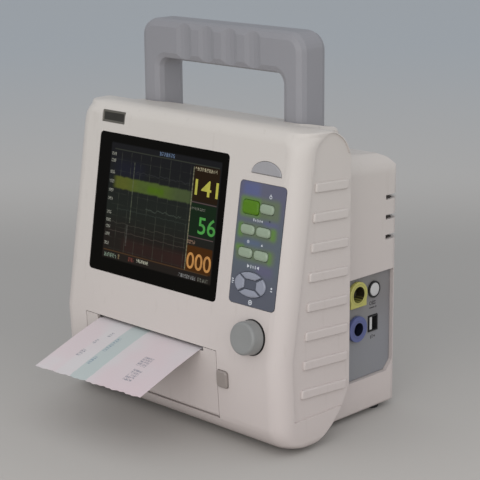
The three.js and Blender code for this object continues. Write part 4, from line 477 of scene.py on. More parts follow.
# Screen: black glass with a trace display behind it, in face millimetres
screen = Sizes(
    edge=0.3, live=((-56, 63.5, -42.5, 46.5), 1, 1.6), glass=((6, 5, 3), (11, 9, 6)), smear=(30, 5),
    rough=0.10, specular=0.06, emission=0.72, ripple=(12, 0.02, 1), back=((35, 40, 36), (28, 29, 33)),
    backEdge=(18, 44), low=(37, 32, 29), lowEdge=(-14, 26),
    red=Sizes(box=(-34, 35, -36, -25), blur=(10, 7), share=1.28, mottle=(26, 2), tone=(58, 36, 33)),
    blue=Sizes(box=(-50, -18, 22, 34), blur=(16, 8), share=0.7, tone=(30, 32, 48)),
    grid=Sizes(
        box=(-51, 35.6, -35.5, 41), blur=0.5, pitches=(10.8, 8.6), shares=(0.6, 0.22),
        line=(0.35, 0.45), least=0.25, breaks=(170, 2), breakEdge=(0.5, 0.2), tone=(84, 88, 76),
    ),
    traceWidth=0.45, traceShare=0.8,
    traces=(
        (1, 7, 0.16, (-12, 27), (84, 94, 84)), (-3, 3, 0.4, (-45, 34), (58, 66, 60)),
        (-14, 4.5, 0.10, (-52, 34), (72, 70, 62)), (-20.5, 3, 0.14, (-52, 34), (78, 70, 64)),
        (27, 5, 0.2, (-26, 33), (56, 58, 60)),
    ),
    strokes=(
        ((-28.7, -27.9, -12, 34), 0.55, (118, 124, 104)), ((-31.4, -30, -30, -14), 0.5, (104, 104, 98)),
    ),
    strokeBlur=0.7, strokeBreaks=(0.35, 0.4, (0.46, 0.2)),
    panes=(
        ((36.4, 62.4, 15.4, 41.4), (40, 26, 12)), ((36.4, 62.4, -10, 13.8), (20, 42, 24)),
        ((35.8, 62.4, -36, -17.2), (78, 44, 10)),
    ),
    paneRim=(1.2, 1.4),
    rules=(
        ((-52, 61.6, 41.6, 42.3), (66, 70, 60)), ((36, 62, 14.3, 14.9), (112, 92, 92)),
        ((36, 62, -11.1, -10.5), (112, 92, 92)), ((-55, 60, -36.6, -35.9), (92, 66, 38)),
    ),
    ruleBlur=0.5, ruleShare=0.85,
    divider=Sizes(box=(35.2, 36, -36, 40), breaks=(0.45, 0.5, (0.5, 0.3)), tone=(150, 148, 118)),
    labels=(
        ((37, 60, 37.6, 40.2), 2.3, (190, 180, 150)), ((37, 51, 9, 11), 1.8, (130, 130, 120)),
        ((35.4, 44, -16, -13.4), 2.2, (160, 130, 110)), ((-2, 14.5, 43, 46), 2.4, (110, 130, 160)),
        ((-54, -40, -41.4, -38.2), 3, (150, 170, 150)), ((-38, -36, -41.4, -37.8), 2.4, (140, 120, 90)),
        ((-26, -20, -41, -37.8), 3, (130, 70, 60)), ((-17, -3.5, -40.2, -37.6), 1.9, (200, 200, 180)),
        ((29.5, 48, -42, -39.2), 2, (150, 150, 150)), ((50, 61, -42, -39.2), 2.6, (120, 120, 110)),
    ),
    labelShare=0.85,
    scale=Sizes(
        heights=(38, 33, 24, 17, 10, 3.6, -7, -13, -18, -24, -31), ends=(-55, -50), half=1.25,
        letter=1.6, share=0.9, tone=(172, 172, 160),
    ),
    rows=(0.7, 0.3, 0.3), rowShare=0.25,
)
band = Sizes(
    heights=(12.4, 21.6, 1.8), ends=(-49, 35.6, 7), sway=(2.4, 0.12, 3),
    tones=((104, 110, 44), (92, 112, 52)), toneEdge=(-28, 22), right=(84, 98, 62), rightEdge=(14, 16),
    spot=((-12, 6, 13.5, 19), 2.5, 4), spotTone=((88, 124, 16), 0.8), speckle=((50, 60, 30), 0.35, 240, 3),
)


def chartTone(paint, u, v):
    # the dark ground of the chart with its tinted zones, broken grid and thin traces
    red, blue, grid = screen.red, screen.blue, screen.grid
    tone = paint.blend(paint.rise(v, *screen.backEdge), screen.back)
    tone = paint.cover(tone, 1 - paint.rise(v, *screen.lowEdge), screen.low)
    glow = red.share * paint.panel(u, v, red.box, *red.blur) * paint.noise(*red.mottle)
    tone = paint.cover(tone, glow, red.tone)
    tone = paint.cover(tone, blue.share * paint.panel(u, v, blue.box, *blue.blur), blue.tone)
    drawn = grid.least + paint.rise(paint.noise(*grid.breaks), *grid.breakEdge)
    drawn = drawn * paint.panel(u, v, grid.box, grid.blur)
    for value, pitch, share in zip((u, v), grid.pitches, grid.shares):
        tone = paint.cover(tone, share * drawn * paint.lines(value, pitch, *grid.line), grid.tone)
    for middle, swing, scale, ends, colour in screen.traces:
        line = paint.trace(u, v, middle, swing, scale, screen.traceWidth, ends)
        tone = paint.cover(tone, screen.traceShare * line, colour)
    return tone


def bandTone(paint, u, v):
    # the wide band of the heart rate trace, brightest at its left end
    lit = paint.blend(paint.rise(u, *band.toneEdge), band.tones)
    lit = paint.cover(lit, paint.rise(u, *band.rightEdge), band.right)
    lit = paint.cover(lit, paint.rounded(u, v, *band.spot), *band.spotTone)
    return paint.worn(lit, *band.speckle)


def screenFinish():
    paint = Paint("screenGlass")
    u, v = paint.onFace()
    tone = chartTone(paint, u, v)
    wavy = v + paint.sway(u, *band.sway)
    inBand = paint.between(wavy, *band.heights) * paint.between(u, *band.ends)
    tone = paint.mix(inBand, tone, bandTone(paint, u, v))
    faint = paint.broken(v, *screen.strokeBreaks)
    for box, share, colour in screen.strokes:
        tone = paint.cover(tone, share * faint * paint.panel(u, v, box, screen.strokeBlur), colour)

    # the panes of the numbers, their rules and the small print
    for box, colour in screen.panes:
        tone = paint.cover(tone, paint.rounded(u, v, box, *screen.paneRim), colour)
    for box, colour in screen.rules:
        tone = paint.cover(tone, screen.ruleShare * paint.panel(u, v, box, screen.ruleBlur), colour)
    divider = screen.divider
    flicker = paint.broken(v, *divider.breaks)
    tone = paint.cover(tone, flicker * paint.panel(u, v, divider.box, screen.ruleBlur), divider.tone)
    for box, letter, colour in screen.labels:
        tone = paint.cover(tone, screen.labelShare * paint.scribble(u, v, box, letter), colour)
    scale = screen.scale
    for height in scale.heights:
        mark = paint.scribble(u, v, (*scale.ends, height - scale.half, height + scale.half), scale.letter)
        tone = paint.cover(tone, scale.share * mark, scale.tone)

    # fine rows of the panel, and the dark border round the picture
    rows = 1 - screen.rowShare * paint.lines(v, *screen.rows)
    live = paint.rounded(u, v, *screen.live)
    smear = paint.noise(*screen.smear)
    picture = paint.mix(live * rows, ink(0, 0, 0), tone)
    lit = {"Emission Color": picture, "Emission Strength": screen.emission}
    lit["Specular IOR Level"] = screen.specular
    rough = screen.rough + screen.rough * smear
    return paint.surface(paint.blend(smear, screen.glass), rough, screen.ripple, lit)


digits = Sizes(
    lift=0.03, thick=0.03, bold=0.008, extrude=0.02, steps=4, weld=0.0005, unlit=(10, 10, 10), rough=0.2,
    dim=0.7, mottle=(260, 2), emission=0.7,
    numbers=(
        ("rate_number", "141", (38.4, 62.2, 20, 31.6), (226, 220, 84)),
        ("second_number", "56", (45.2, 63.2, -7.8, 4.8), (84, 186, 74)),
        ("press_number", "000", (36.8, 62.2, -34.4, -22.2), (232, 164, 84)),
    ),
)


def litInk(name, colour):
    paint = Paint(name)
    dim = [digits.dim * part for part in colour]
    glow = paint.blend(paint.noise(*digits.mottle), (dim, colour))
    lit = {"Emission Color": glow, "Emission Strength": digits.emission}
    return paint.surface(ink(*digits.unlit), digits.rough, None, lit)


def addDigits(name, text, box, colour):
    # plain figures as thin shapes on the glass
    curve = bpy.data.curves.new(name, "FONT")
    curve.body = text
    curve.extrude = digits.extrude
    curve.offset = digits.bold
    curve.resolution_u = digits.steps
    holder = bpy.data.objects.new(name, curve)
    figures = bpy.data.meshes.new_from_object(holder)
    shape = bmesh.new()
    shape.from_mesh(figures)
    bpy.data.objects.remove(holder)
    bpy.data.meshes.remove(figures)
    bmesh.ops.remove_doubles(shape, verts=shape.verts, dist=digits.weld)
    low = [min(vertex.co[axis] for vertex in shape.verts) for axis in range(3)]
    high = [max(vertex.co[axis] for vertex in shape.verts) for axis in range(3)]
    wanted = (box[1] - box[0], box[3] - box[2], digits.thick)
    shares = [wanted[axis] / (high[axis] - low[axis]) * mm for axis in range(3)]
    bmesh.ops.translate(shape, verts=shape.verts, vec=-Vector(low))
    bmesh.ops.scale(shape, verts=shape.verts, vec=shares)
    place = faceAt(box[0], box[2], "display_window", digits.lift)
    bmesh.ops.transform(shape, verts=shape.verts, matrix=place)
    bmesh.ops.recalc_face_normals(shape, faces=shape.faces)
    piece(name, shape, litInk(name + "Light", colour), "housing", like="display_window", flatten=False)


dressed("display_window", screenFinish(), screen.edge)
for row in digits.numbers:
    addDigits(*row)
print("stage: screen")

# Keypad film, keys and lamp
keypad = Sizes(
    edge=0.2, angle=50, top=((78, 88, 96), (84, 84, 104)), topEdge=(14, 30), low=(78, 81, 92),
    lowEdge=(-26, 26),
    # how strong, round and soft the fields of each kind are
    kinds=Sizes(tint=(0.7, 3, 7), green=(0.8, 3.2, 5.5), bright=(0.8, 1.8, 4.4)),
    fields=(
        ("tint", (76, 86, 136), ((87, 103, 27, 37),)), ("tint", (82, 82, 128), ((110, 122, 5.5, 12.5),)),
        ("tint", (74, 92, 122), ((93, 108, -7, -3),)), ("tint", (86, 80, 112), ((106, 122, -27, -19),)),
        ("green", (90, 106, 62), (
            (85.4, 123.4, 12.6, 27.2), (86.6, 122.6, -1.6, 8.4), (85.2, 122.4, -18.2, -8.2))),
        ("bright", (84, 128, 22), (
            (86.4, 104.6, 13.4, 26.4), (85.4, 90, -2, 8), (117, 121.6, -0.6, 7.4),
            (84.8, 92.6, -11.4, -7.6), (116.6, 119.4, -17.6, -9.4))),
    ),
    centre=(102.8, -34.4), squeeze=0.62, ringEdge=(10, 1.2), ring=((72, 76, 88), 0.8),
    wear=((104, 106, 120), 0.22, 60, 4), uneven=(0.36, 0.12, 90, 3), grain=(1500, 0.02),
)


def keypadFinish():
    # printed film over a slate blue ground, with soft green fields round the key rows
    paint = Paint("keypadFilm")
    u, v = paint.onFace()
    tone = paint.blend(paint.rise(v, *keypad.topEdge), keypad.top)
    tone = paint.cover(tone, 1 - paint.rise(v, *keypad.lowEdge), keypad.low)
    for kind, colour, boxes in keypad.fields:
        share, *rim = keypad.kinds[kind]
        for box in boxes:
            tone = paint.cover(tone, paint.rounded(u, v, box, *rim), colour, share)
    centreU, centreV = keypad.centre
    around = paint.radius((u - centreU) * keypad.squeeze, v - centreV)
    tone = paint.cover(tone, 1 - paint.rise(around, *keypad.ringEdge), *keypad.ring)
    return paint.surface(paint.worn(tone, *keypad.wear), keypad.uneven, keypad.grain)


keys = Sizes(
    shape=Sizes(width=0.15, angle=30, sharp=40), crown=((0.4, 0.28), (0.6, 0.20), (0.6, 0.08)),
    lowCrown=((0.4, 0.20), (0.5, 0.12)), green=((70, 112, 6), (82, 122, 12)),
    pale=((132, 146, 124), (144, 158, 138)), cursor=((132, 135, 148), (142, 145, 157)), mottle=120, coat=0.35,
    coatRough=0.12, specular=0.3, uneven=(0.36, 0.14, 300), grain=(2600, 0.015),
)


def keyFinish(name, tones, coat):
    # silicone caps: a mottled tone under a smooth sheen, which the green cap lacks
    paint = Paint(name)
    sheen = {"Specular IOR Level": keys.specular, "Coat Weight": coat, "Coat Roughness": keys.coatRough}
    return paint.surface(paint.cloud(tones, keys.mottle), keys.uneven, keys.grain, sheen)


greenKey = keyFinish("greenKey", keys.green, 0.0)
paleKey = keyFinish("paleKey", keys.pale, keys.coat)
cursorKey = keyFinish("cursorKey", keys.cursor, keys.coat)
dressed("keypad_panel", keypadFinish(), keypad.edge, angle=keypad.angle)
dressed("power_key", greenKey, crown=keys.crown, **keys.shape)
for index in range(1, 6):
    dressed("function_key_%d" % index, paleKey, crown=keys.crown, **keys.shape)
for side in ("right", "up", "left", "down"):
    dressed("cursor_%s_key" % side, cursorKey, crown=keys.lowCrown, **keys.shape)

# Small printed marks: bars, dots, rings and arrows as thin flat shapes. Kind, place, width, height and turn
marks = Sizes(
    thick=0.05, lift=0.01, ringWidth=0.16, corners=Sizes(arrow=3, dot=16, ring=24),
    shade=12, rough=0.5, depth=0.01, keypad=(205, 208, 214), dark=(44, 46, 58), side=(50, 46, 50),
)
keypadMarks = (
    ("ring", 113.4, 29.2, 2.6, 2.6), ("bar", 113.4, 30.4, 0.5, 1.5),
    ("bar", 99.6, 11.4, 0.7, 2), ("bar", 101.2, 11, 0.6, 1.2), ("ring", 103.4, 11.2, 1.8, 1.8),
    ("bar", 105.6, 11.2, 0.6, 1.6), ("arrow", 107.6, 11.2, 1.9, 1.9, 90),
    ("ring", 96.4, -4.6, 2.2, 2.2), ("bar", 96.4, -4.6, 0.5, 0.9),
    ("arrow", 109.8, -5.4, 2.2, 2.2),
    ("arrow", 98.6, -21.6, 3, 3, -90), ("bar", 101.4, -21.6, 0.6, 2.4), ("ring", 103.6, -21.6, 1.8, 1.8),
    ("bar", 105.8, -21.6, 0.6, 2.4), ("arrow", 108.4, -21.6, 3, 3, 90),
    ("bar", 85.2, -33, 1.8, 0.6), ("bar", 85.6, -34.4, 2.4, 0.6), ("bar", 85.2, -35.8, 1.4, 0.6),
    ("dot", 122.9, -33.4, 1.5, 1.5), ("bar", 122.9, -35.4, 1.8, 0.6),
    ("ring", 104.2, -46.8, 3.6, 3.6), ("dot", 104.2, -46.8, 1.4, 1.4),
)
darkMarks = (("dot", 114.8, 12.2, 1.3, 1.3),)
# the marks beside the ports, rearward and up from the connector plate's middle
sideMarks = (
    ("ring", 10.4, 16.4, 3, 3), ("bar", 13, 16.4, 0.9, 3.2), ("bar", 15, 17.3, 2.4, 0.8),
    ("bar", 15, 15.5, 2.4, 0.8), ("bar", 12, 12.8, 6, 0.8), ("arrow", 16.6, 12.8, 2, 2, -90),
    ("bar", 10.8, -10.4, 0.7, 2.6), ("bar", 12.6, -10, 0.7, 3.2), ("dot", 15, -10.2, 1.6, 1.6),
)


def addMark(shape, place, kind, width, height, turn=0):
    # drawn one unit wide, then stretched, turned and placed
    if kind == "bar":
        made = bmesh.ops.create_grid(shape, x_segments=1, y_segments=1, size=0.5)
    else:
        made = bmesh.ops.create_circle(shape, cap_ends=True, segments=marks.corners[kind], radius=0.5)
    faces = list({face for vertex in made["verts"] for face in vertex.link_faces})
    if kind == "ring":
        inner = faces[0]
        faces = bmesh.ops.inset_individual(shape, faces=[inner], thickness=marks.ringWidth)["faces"]
        bmesh.ops.delete(shape, geom=[inner], context="FACES_ONLY")
    flat = {vertex for face in faces for vertex in face.verts}
    grown = bmesh.ops.extrude_face_region(shape, geom=faces, use_keep_orig=True)["geom"]
    risen = {item for item in grown if isinstance(item, bmesh.types.BMVert)} - flat
    bmesh.ops.translate(shape, verts=list(risen), vec=(0, 0, marks.thick))
    spread = Matrix.Diagonal((width * mm, height * mm, mm, 1))
    placed = place @ Matrix.Rotation(math.radians(turn), 4, "Z") @ spread
    bmesh.ops.transform(shape, verts=list(flat | risen), matrix=placed)


def addMarks(name, rows, placeOf, colour, node):
    shape = bmesh.new()
    for kind, u, v, *rest in rows:
        addMark(shape, placeOf(u, v), kind, *rest)
    bmesh.ops.recalc_face_normals(shape, faces=shape.faces)
    shaded = [part - marks.shade for part in colour]
    finish = moulded(name + "Ink", (shaded, colour), marks.rough, depth=marks.depth)
    piece(name, shape, finish, "housing", like=node, flatten=False)


sideMiddle = middleOf("connector_plate")
sideMiddle.x += reach("connector_plate", across, sideMiddle)


def sideAt(y, z):
    return frameAt(sideMiddle + Vector((marks.lift, y, z)) * mm, rearward, upward)


def keypadAt(u, v):
    return faceAt(u, v, "keypad_panel", marks.lift)


addMarks("keypad_marks", keypadMarks, keypadAt, marks.keypad, "keypad_panel")
addMarks("keypad_dark_mark", darkMarks, keypadAt, marks.dark, "keypad_panel")
addMarks("side_marks", sideMarks, sideAt, marks.side, "connector_plate")

lens = Sizes(
    edge=0.15, angle=24, prisms=(1.3, 0.5, 0.5), tones=((148, 146, 149), (158, 156, 158)), mottle=80,
    line=((124, 122, 128), 0.25), uneven=(0.28, 0.08, 200), coat=0.2, depth=0.04,
)
plate = Sizes(
    edge=0.15, half=(11.2, 3), rim=(0.7, 0.5), tones=((104, 100, 92), (46, 43, 38)),
    worn=(82, 78, 70), wornMottle=(90, 4), wornShare=0.4,
    metallic=0.35, uneven=(0.34, 0.12, 500), depth=-0.08,
)


def lampFinish():
    # frosted lens with fine upright prisms inside
    paint = Paint("lampLens")
    prism = paint.lines(paint.onFace()[0], *lens.prisms)
    tone = paint.cover(paint.cloud(lens.tones, lens.mottle), prism, *lens.line)
    return paint.surface(tone, lens.uneven, paint.bump(prism, lens.depth), {"Coat Weight": lens.coat})


def plateFinish():
    # bare dark plate with a paler bevelled border
    paint = Paint("darkPlate")
    u, v = paint.onFace()
    middleU, middleV, _ = onFaceOf(middleOf("face_plate"))
    inner = paint.rounded(u, v, boxAround(middleU, middleV, plate.half), *plate.rim)
    worn = plate.wornShare * paint.noise(*plate.wornMottle) * inner
    tone = paint.cover(paint.blend(inner, plate.tones), worn, plate.worn)
    return paint.surface(tone, plate.uneven, paint.bump(inner, plate.depth), {"Metallic": plate.metallic})


dressed("alarm_lamp", lampFinish(), lens.edge, angle=lens.angle)
dressed("face_plate", plateFinish(), plate.edge)
print("stage: keypad, keys and lamp")

# Selector knob, spun round its axis, and a thin black ring behind it that is painted shade, standing for the
# shadow gap at the knob's base
knob = Sizes(
    outline=((0, 10.55), (6.5, 10.75), (11.8, 11), (12.3, 1.2), (12, 0.9), (10.6, 0.9), (10.6, 7), (0, 7)),
    around=72, weld=0.001, rim=Sizes(width=2.1, angle=60, segments=5), rimFrom=10.9, sharp=50,
    tones=((128, 129, 128), (138, 138, 137)), mottle=70, rings=(2.2, 3), ringTone=(112, 112, 112),
    ringShare=0.12, ringDepth=0.01, rough=0.34, grain=(1900, 0.02),
    seat=((11, 0.02), (13, 0.02), (13, 0.28), (11, 0.28)),
    seatLook=Sizes(tones=((30, 29, 28), (38, 37, 35)), least=0.6),
)


def spun(outline, place, closed):
    # a profile of radius and height turned once round its axis
    shape = bmesh.new()
    points = [shape.verts.new((radius * mm, 0, height * mm)) for radius, height in outline]
    edges = [shape.edges.new(pair) for pair in zip(points, points[1:])]
    if closed:
        edges.append(shape.edges.new((points[-1], points[0])))
    bmesh.ops.spin(
        shape, geom=points + edges, cent=(0, 0, 0), axis=(0, 0, 1), angle=2 * math.pi, steps=knob.around,
        use_merge=True, use_duplicate=False,
    )
    bmesh.ops.remove_doubles(shape, verts=shape.verts, dist=knob.weld * mm)
    bmesh.ops.recalc_face_normals(shape, faces=shape.faces)
    bmesh.ops.transform(shape, verts=shape.verts, matrix=place)
    return shape


def knobFinish(place):
    # satin plastic with faint turned rings on its end
    paint = Paint("knobGrey")
    rings = paint.wave(paint.radius(*paint.onFace(place.translation)), *knob.rings)
    tone = paint.cloud(knob.tones, knob.mottle)
    tone = paint.cover(tone, knob.ringShare * rings, knob.ringTone)
    relief = paint.bump(rings, knob.ringDepth, paint.grain(*knob.grain))
    return paint.surface(tone, knob.rough + knob.ringShare * rings, relief)


def rimEdge(edge):
    return min(onFaceOf(vertex.co)[2] for vertex in edge.verts) > knob.rimFrom


def addKnob():
    u, v, _ = onFaceOf(middleOf("selector_knob"))
    place = onFace @ Matrix.Translation((u * mm, v * mm, 0))
    shape = soften(spun(knob.outline, place, False), wanted=rimEdge, **knob.rim)
    piece("selector_knob_cap", shape, knobFinish(place), "knob", "selector_knob", sharp=knob.sharp)
    # painted shade: a black ring where the knob's base has its shadow gap
    seat = spun(knob.seat, place, True)
    piece("knob_shade_ring", seat, moulded("shadeRingBlack", **knob.seatLook), "housing", like="print_head")


addKnob()
print("stage: knob")

# Connector side: plate, sockets and ports
connector = Sizes(
    edge=0.25, tones=((130, 131, 134), (122, 119, 117)), sway=6, swayMottle=(30, 2), toneEdge=(8, 44),
    wear=((132, 131, 132), 0.2, 110, 4), tint=((124, 122, 138), 0.15), tintMottle=(24, 2),
    tintEdge=(0.45, 0.25), uneven=(0.44, 0.1, 400), grain=(1500, 0.025),
)
sockets = Sizes(
    ultrasound_socket=Sizes(
        name="yellowSocket", tones=((170, 166, 88), (186, 182, 104)), bore=(46, 40, 26), radius=6.2,
    ),
    toco_socket=Sizes(
        name="blueSocket", tones=((78, 86, 132), (92, 100, 146)), bore=(24, 28, 46), radius=5,
    ),
)
socket = Sizes(
    edge=0.3, boreEdge=(0.12, 0.2), ring=(1.4, 1.7, 0.15), ringShare=0.4, ringDepth=-0.15,
    mottle=90, uneven=(0.36, 0.12, 420), coat=0.1, grain=(1500, 0.02),
)
ports = Sizes(
    black=Sizes(tones=((28, 28, 29), (38, 38, 39)), least=0.44),
    white=Sizes(tones=((184, 183, 183), (196, 195, 195)), least=0.36), edge=0.15, capEdge=0.2,
)


def connectorPlateFinish():
    paint = Paint("connectorPlate")
    height = paint.along(upward, sideMiddle) + connector.sway * paint.noise(*connector.swayMottle)
    # painted shade: the plate is paler low down and darker towards the top, under the edge of its recess
    tone = paint.blend(paint.rise(height, *connector.toneEdge), connector.tones)
    tone = paint.worn(tone, *connector.wear)
    tint = paint.rise(paint.noise(*connector.tintMottle), *connector.tintEdge)
    return paint.surface(paint.cover(tone, tint, *connector.tint), connector.uneven, connector.grain)


def socketFinish(node, look):
    # coloured flange, darker inside its bore and in a faint ring round it
    paint = Paint(look.name)
    away = paint.radius(*paint.around(node)) - look.radius
    inside = 1 - paint.rise(away, *socket.boreEdge)
    tone = paint.cover(paint.cloud(look.tones, socket.mottle), inside, look.bore)
    ring = paint.between(away, *socket.ring)
    tone = paint.cover(tone, socket.ringShare * ring, look.bore)
    relief = paint.bump(ring, socket.ringDepth, paint.grain(*socket.grain))
    return paint.surface(tone, socket.uneven, relief, {"Coat Weight": socket.coat})


blackPlastic = moulded("blackPlastic", **ports.black)
whitePlastic = moulded("whitePlastic", **ports.white)
dressed("connector_plate", connectorPlateFinish(), connector.edge)
for node, look in sockets.items():
    dressed(node, socketFinish(node, look), socket.edge)
dressed("marker_port", blackPlastic, ports.edge)
dressed("marker_port_cap", whitePlastic, ports.capEdge)
dressed("data_port", blackPlastic, ports.edge)
dressed("data_port_tongue", whitePlastic, ports.edge)
print("stage: connector side")

# Chart paper that comes out of the slot
chart = Sizes(
    tones=((198, 195, 196), (199, 187, 191)), slope=0.9, slopeEdge=(90, 90), warm=((203, 184, 188), 0.6),
    warmMottle=(22, 2), warmEdge=(0.5, 0.3), pale=(-50, -34.6, 4), paleShare=0.6, grid=(2.5, 0.25, 0.25),
    gridTone=((196, 176, 180), 0.22), band=(-34.6, -17.2, 0.8), bandSway=(0.8, 0.2, 2),
    bandTone=((172, 182, 181), 0.9), print=(112, 116, 128), blue=(92, 116, 142), printShare=0.7,
    rows=(
        ((-92, -84), (-51, -46.4), 2.3, "print"), ((-76.5, -71), (-50, -47), 2, "print"),
        ((-95.5, -87), (-33.6, -30.4), 2, "blue"), ((-80, -63), (-33.6, -30), 2.2, "blue"),
        ((-66, -60), (-44.4, -41.6), 2, "print"), ((-99, -86), (9.6, 18.6), 2.6, "print"),
        ((-82.5, -72), (6.8, 16.4), 2.4, "print"),
    ),
    fibre=(900, 4), rough=(0.62, 0.12), depth=0.012, torn=6, tipWidth=50, cuts=56,
    bites=((0.5, 0.33, 1), (0.35, 0.9, 0), (0.25, 2.3, 0)), biteFrom=0.6, sharp=30,
)


def paperFinish():
    # thermal chart paper: faint grid, a lengthwise tinted band and small grey printing
    paint = Paint("chartPaper")
    x, y = paint.along(across), paint.along(rearward)
    tone = paint.blend(paint.rise(x - chart.slope * y, *chart.slopeEdge), chart.tones)
    tone = paint.cover(tone, paint.rise(paint.noise(*chart.warmMottle), *chart.warmEdge), *chart.warm)
    tone = paint.cover(tone, paint.between(x, *chart.pale), chart.tones[0], chart.paleShare)
    for value in (x, y):
        tone = paint.cover(tone, paint.lines(value, *chart.grid), *chart.gridTone)
    inBand = paint.between(x + paint.sway(y, *chart.bandSway), *chart.band)
    tone = paint.cover(tone, inBand, *chart.bandTone)
    for lengthwise, crosswise, letter, kind in chart.rows:
        text = paint.scribble(y, x, (*lengthwise, *crosswise), letter)
        tone = paint.cover(tone, chart.printShare * text, chart[kind])
    fibre = paint.noise(*chart.fibre)
    least, spread = chart.rough
    return paint.surface(tone, least + spread * fibre, paint.bump(fibre, chart.depth))


def addPaper():
    # the strip's copy, its torn end drawn ragged
    shape = merged("paper_strip")
    torn = min(vertex.co.y for vertex in shape.verts) + chart.torn * mm
    front = [edge for edge in shape.edges if max(vertex.co.y for vertex in edge.verts) < torn
             and abs(edge.verts[0].co.x - edge.verts[1].co.x) > chart.tipWidth * mm]
    bmesh.ops.subdivide_edges(shape, edges=front, cuts=chart.cuts)
    for vertex in shape.verts:
        if vertex.co.y < torn:
            along = vertex.co.x * perMm
            bite = sum(size * math.sin(along * rate + shift) for size, rate, shift in chart.bites)
            vertex.co.y += (bite + chart.biteFrom) * mm
    look = Sizes(sharp=chart.sharp, flatten=False)
    paper = piece("chart_paper", shape, paperFinish(), "housing", "paper_strip", **look)
    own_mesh(paper)


addPaper()
print("stage: chart paper")

# Inside, rear and underside
steel = metal("zincSteel", ((176, 178, 180), (140, 143, 146)), 0.32, (60, 900, 900))
shaftSteel = metal("groundSteel", ((190, 191, 193), (160, 162, 164)), 0.2, (900, 60, 60))
brass = metal("brassStud", ((196, 168, 96), (160, 132, 70)), 0.28, (900, 40, 900))
rubber = moulded("darkRubber", ((30, 30, 31), (42, 41, 41)), 0.72, grain=900, depth=0.06)
nylon = moulded("whiteNylon", ((206, 202, 190), (216, 213, 203)), 0.4)
panelBack = moulded("panelFrame", ((62, 64, 68), (76, 78, 82)), 0.36, mottle=40)
board = Sizes(
    thick=1.7, beyond=1, blur=0.05,
    cell=6, turned=(0.5, 0.02), track=(1.5, 0.4, 0.1), trackShare=0.7, trackDepth=0.03,
    pad=(3, 0.8, 0.1), padTone=(176, 168, 120), tones=((22, 74, 46), (44, 112, 70)),
    patch=(60, 1), patchEdge=(0.5, 0.05), uneven=(0.34, 0.2, 300), mainParts=((30, 30, 32), (46, 46, 48)),
    keyParts=((176, 178, 180), (150, 152, 156)), supplyParts=((38, 38, 42), (176, 150, 70)),
)


def boardFinish(name, frameOf, span, partTones):
    # printed board: traces that turn from cell to cell, pads, and darker parts beyond the board's own thickness
    paint = Paint(name)
    start, *directions = frameOf
    right, up, away = [paint.along(direction, start) for direction in directions]
    turn = paint.rise(paint.random(right, up, board.cell), *board.turned)
    tracks = turn * paint.lines(right, *board.track) + (1 - turn) * paint.lines(up, *board.track)
    pads = paint.lines(right, *board.pad) * paint.lines(up, *board.pad)
    tone = paint.cover(paint.blend(board.trackShare * tracks, board.tones), pads, board.padTone)
    isPart = 1 - paint.between(away, *span, board.blur)
    parts = paint.blend(paint.rise(paint.noise(*board.patch), *board.patchEdge), partTones)
    return paint.surface(paint.mix(isPart, tone, parts), board.uneven, paint.bump(tracks, board.trackDepth))


def paintBoards():
    # each board's own thickness is measured from its printed side
    thick, beyond = board.thick, board.beyond
    onKeys = (faceStart, across, faceUp, faceOut)
    front = reach("main_board", faceOut, faceStart) * perMm
    back = -reach("key_board", -faceOut, faceStart) * perMm
    onSupply = (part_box("power_supply")[1], across, upward, rearward)
    for node, name, frameOf, span, parts in (
        ("main_board", "mainBoard", onKeys, (front - thick, front + beyond), "mainParts"),
        ("key_board", "keyBoard", onKeys, (back - beyond, back + thick), "keyParts"),
        ("power_supply", "supplyBoard", onSupply, (-thick, beyond), "supplyParts"),
    ):
        paintNode(node, boardFinish(name, frameOf, span, board[parts]))


speaker = Sizes(
    rim=(22.6, 0.3), rings=(3.4, 1.2, 0.8), tones=((34, 34, 36), (92, 94, 98)), ring=((60, 60, 62), 0.3),
    rough=0.66, rimShine=0.2, ringDepth=0.3, grain=(1100, 0.05, 3),
)
pack = Sizes(
    sway=0.4, swayMottle=(40, 2), sheets=(0.5, 0.2, 0.2), sheetShare=0.4,
    tones=((214, 210, 206), (176, 170, 168)), tint=((204, 190, 190), 0.3, 50, 3), rough=0.7, depth=0.05,
)
battery = Sizes(
    creases=(40, 420, 420), seam=(-1.2, 1.2, 0.3), tones=((40, 66, 96), (56, 84, 116)),
    seamTone=(28, 46, 70), seamShare=0.5, rough=(0.26, 0.1), depth=0.12,
)
head = Sizes(
    line=(-1.4, 1.4, 0.3), front=(-4.2, 0.3), tones=((30, 30, 32), (40, 40, 43)), mottle=160,
    glaze=(176, 150, 110), rough=0.5, shine=0.3, grain=(700, 0.04, 3),
)
inlet = Sizes(
    edge=0.25, pins=((-7, 0), (0, 2), (7, 0)), half=(1.1, 2.1), blur=0.05,
    floor=(-5, 0.2), tones=((26, 26, 27), (36, 36, 37)), mottle=200, blade=(196, 192, 180),
    metallic=0.9, uneven=(0.42, 0.1, 500), shine=0.16, grain=(1500, 0.02),
)


def speakerFinish():
    # paper cone with moulded rings and a pressed steel basket
    paint = Paint("speakerCone")
    radius = paint.radius(*paint.around("loudspeaker"))
    rim = paint.rise(radius, *speaker.rim)
    rings = paint.lines(radius, *speaker.rings)
    return paint.surface(
        paint.cover(paint.blend(rim, speaker.tones), rings, *speaker.ring),
        speaker.rough - speaker.rimShine * rim,
        paint.bump(rings, speaker.ringDepth, paint.grain(*speaker.grain)),
    )


def packFinish():
    # a folded pack of chart paper with its fine sheet edges
    paint = Paint("paperPack")
    height = paint.along(upward) + pack.sway * paint.noise(*pack.swayMottle)
    sheets = paint.lines(height, *pack.sheets)
    tone = paint.blend(pack.sheetShare * sheets, pack.tones)
    return paint.surface(paint.worn(tone, *pack.tint), pack.rough, paint.bump(sheets, pack.depth))


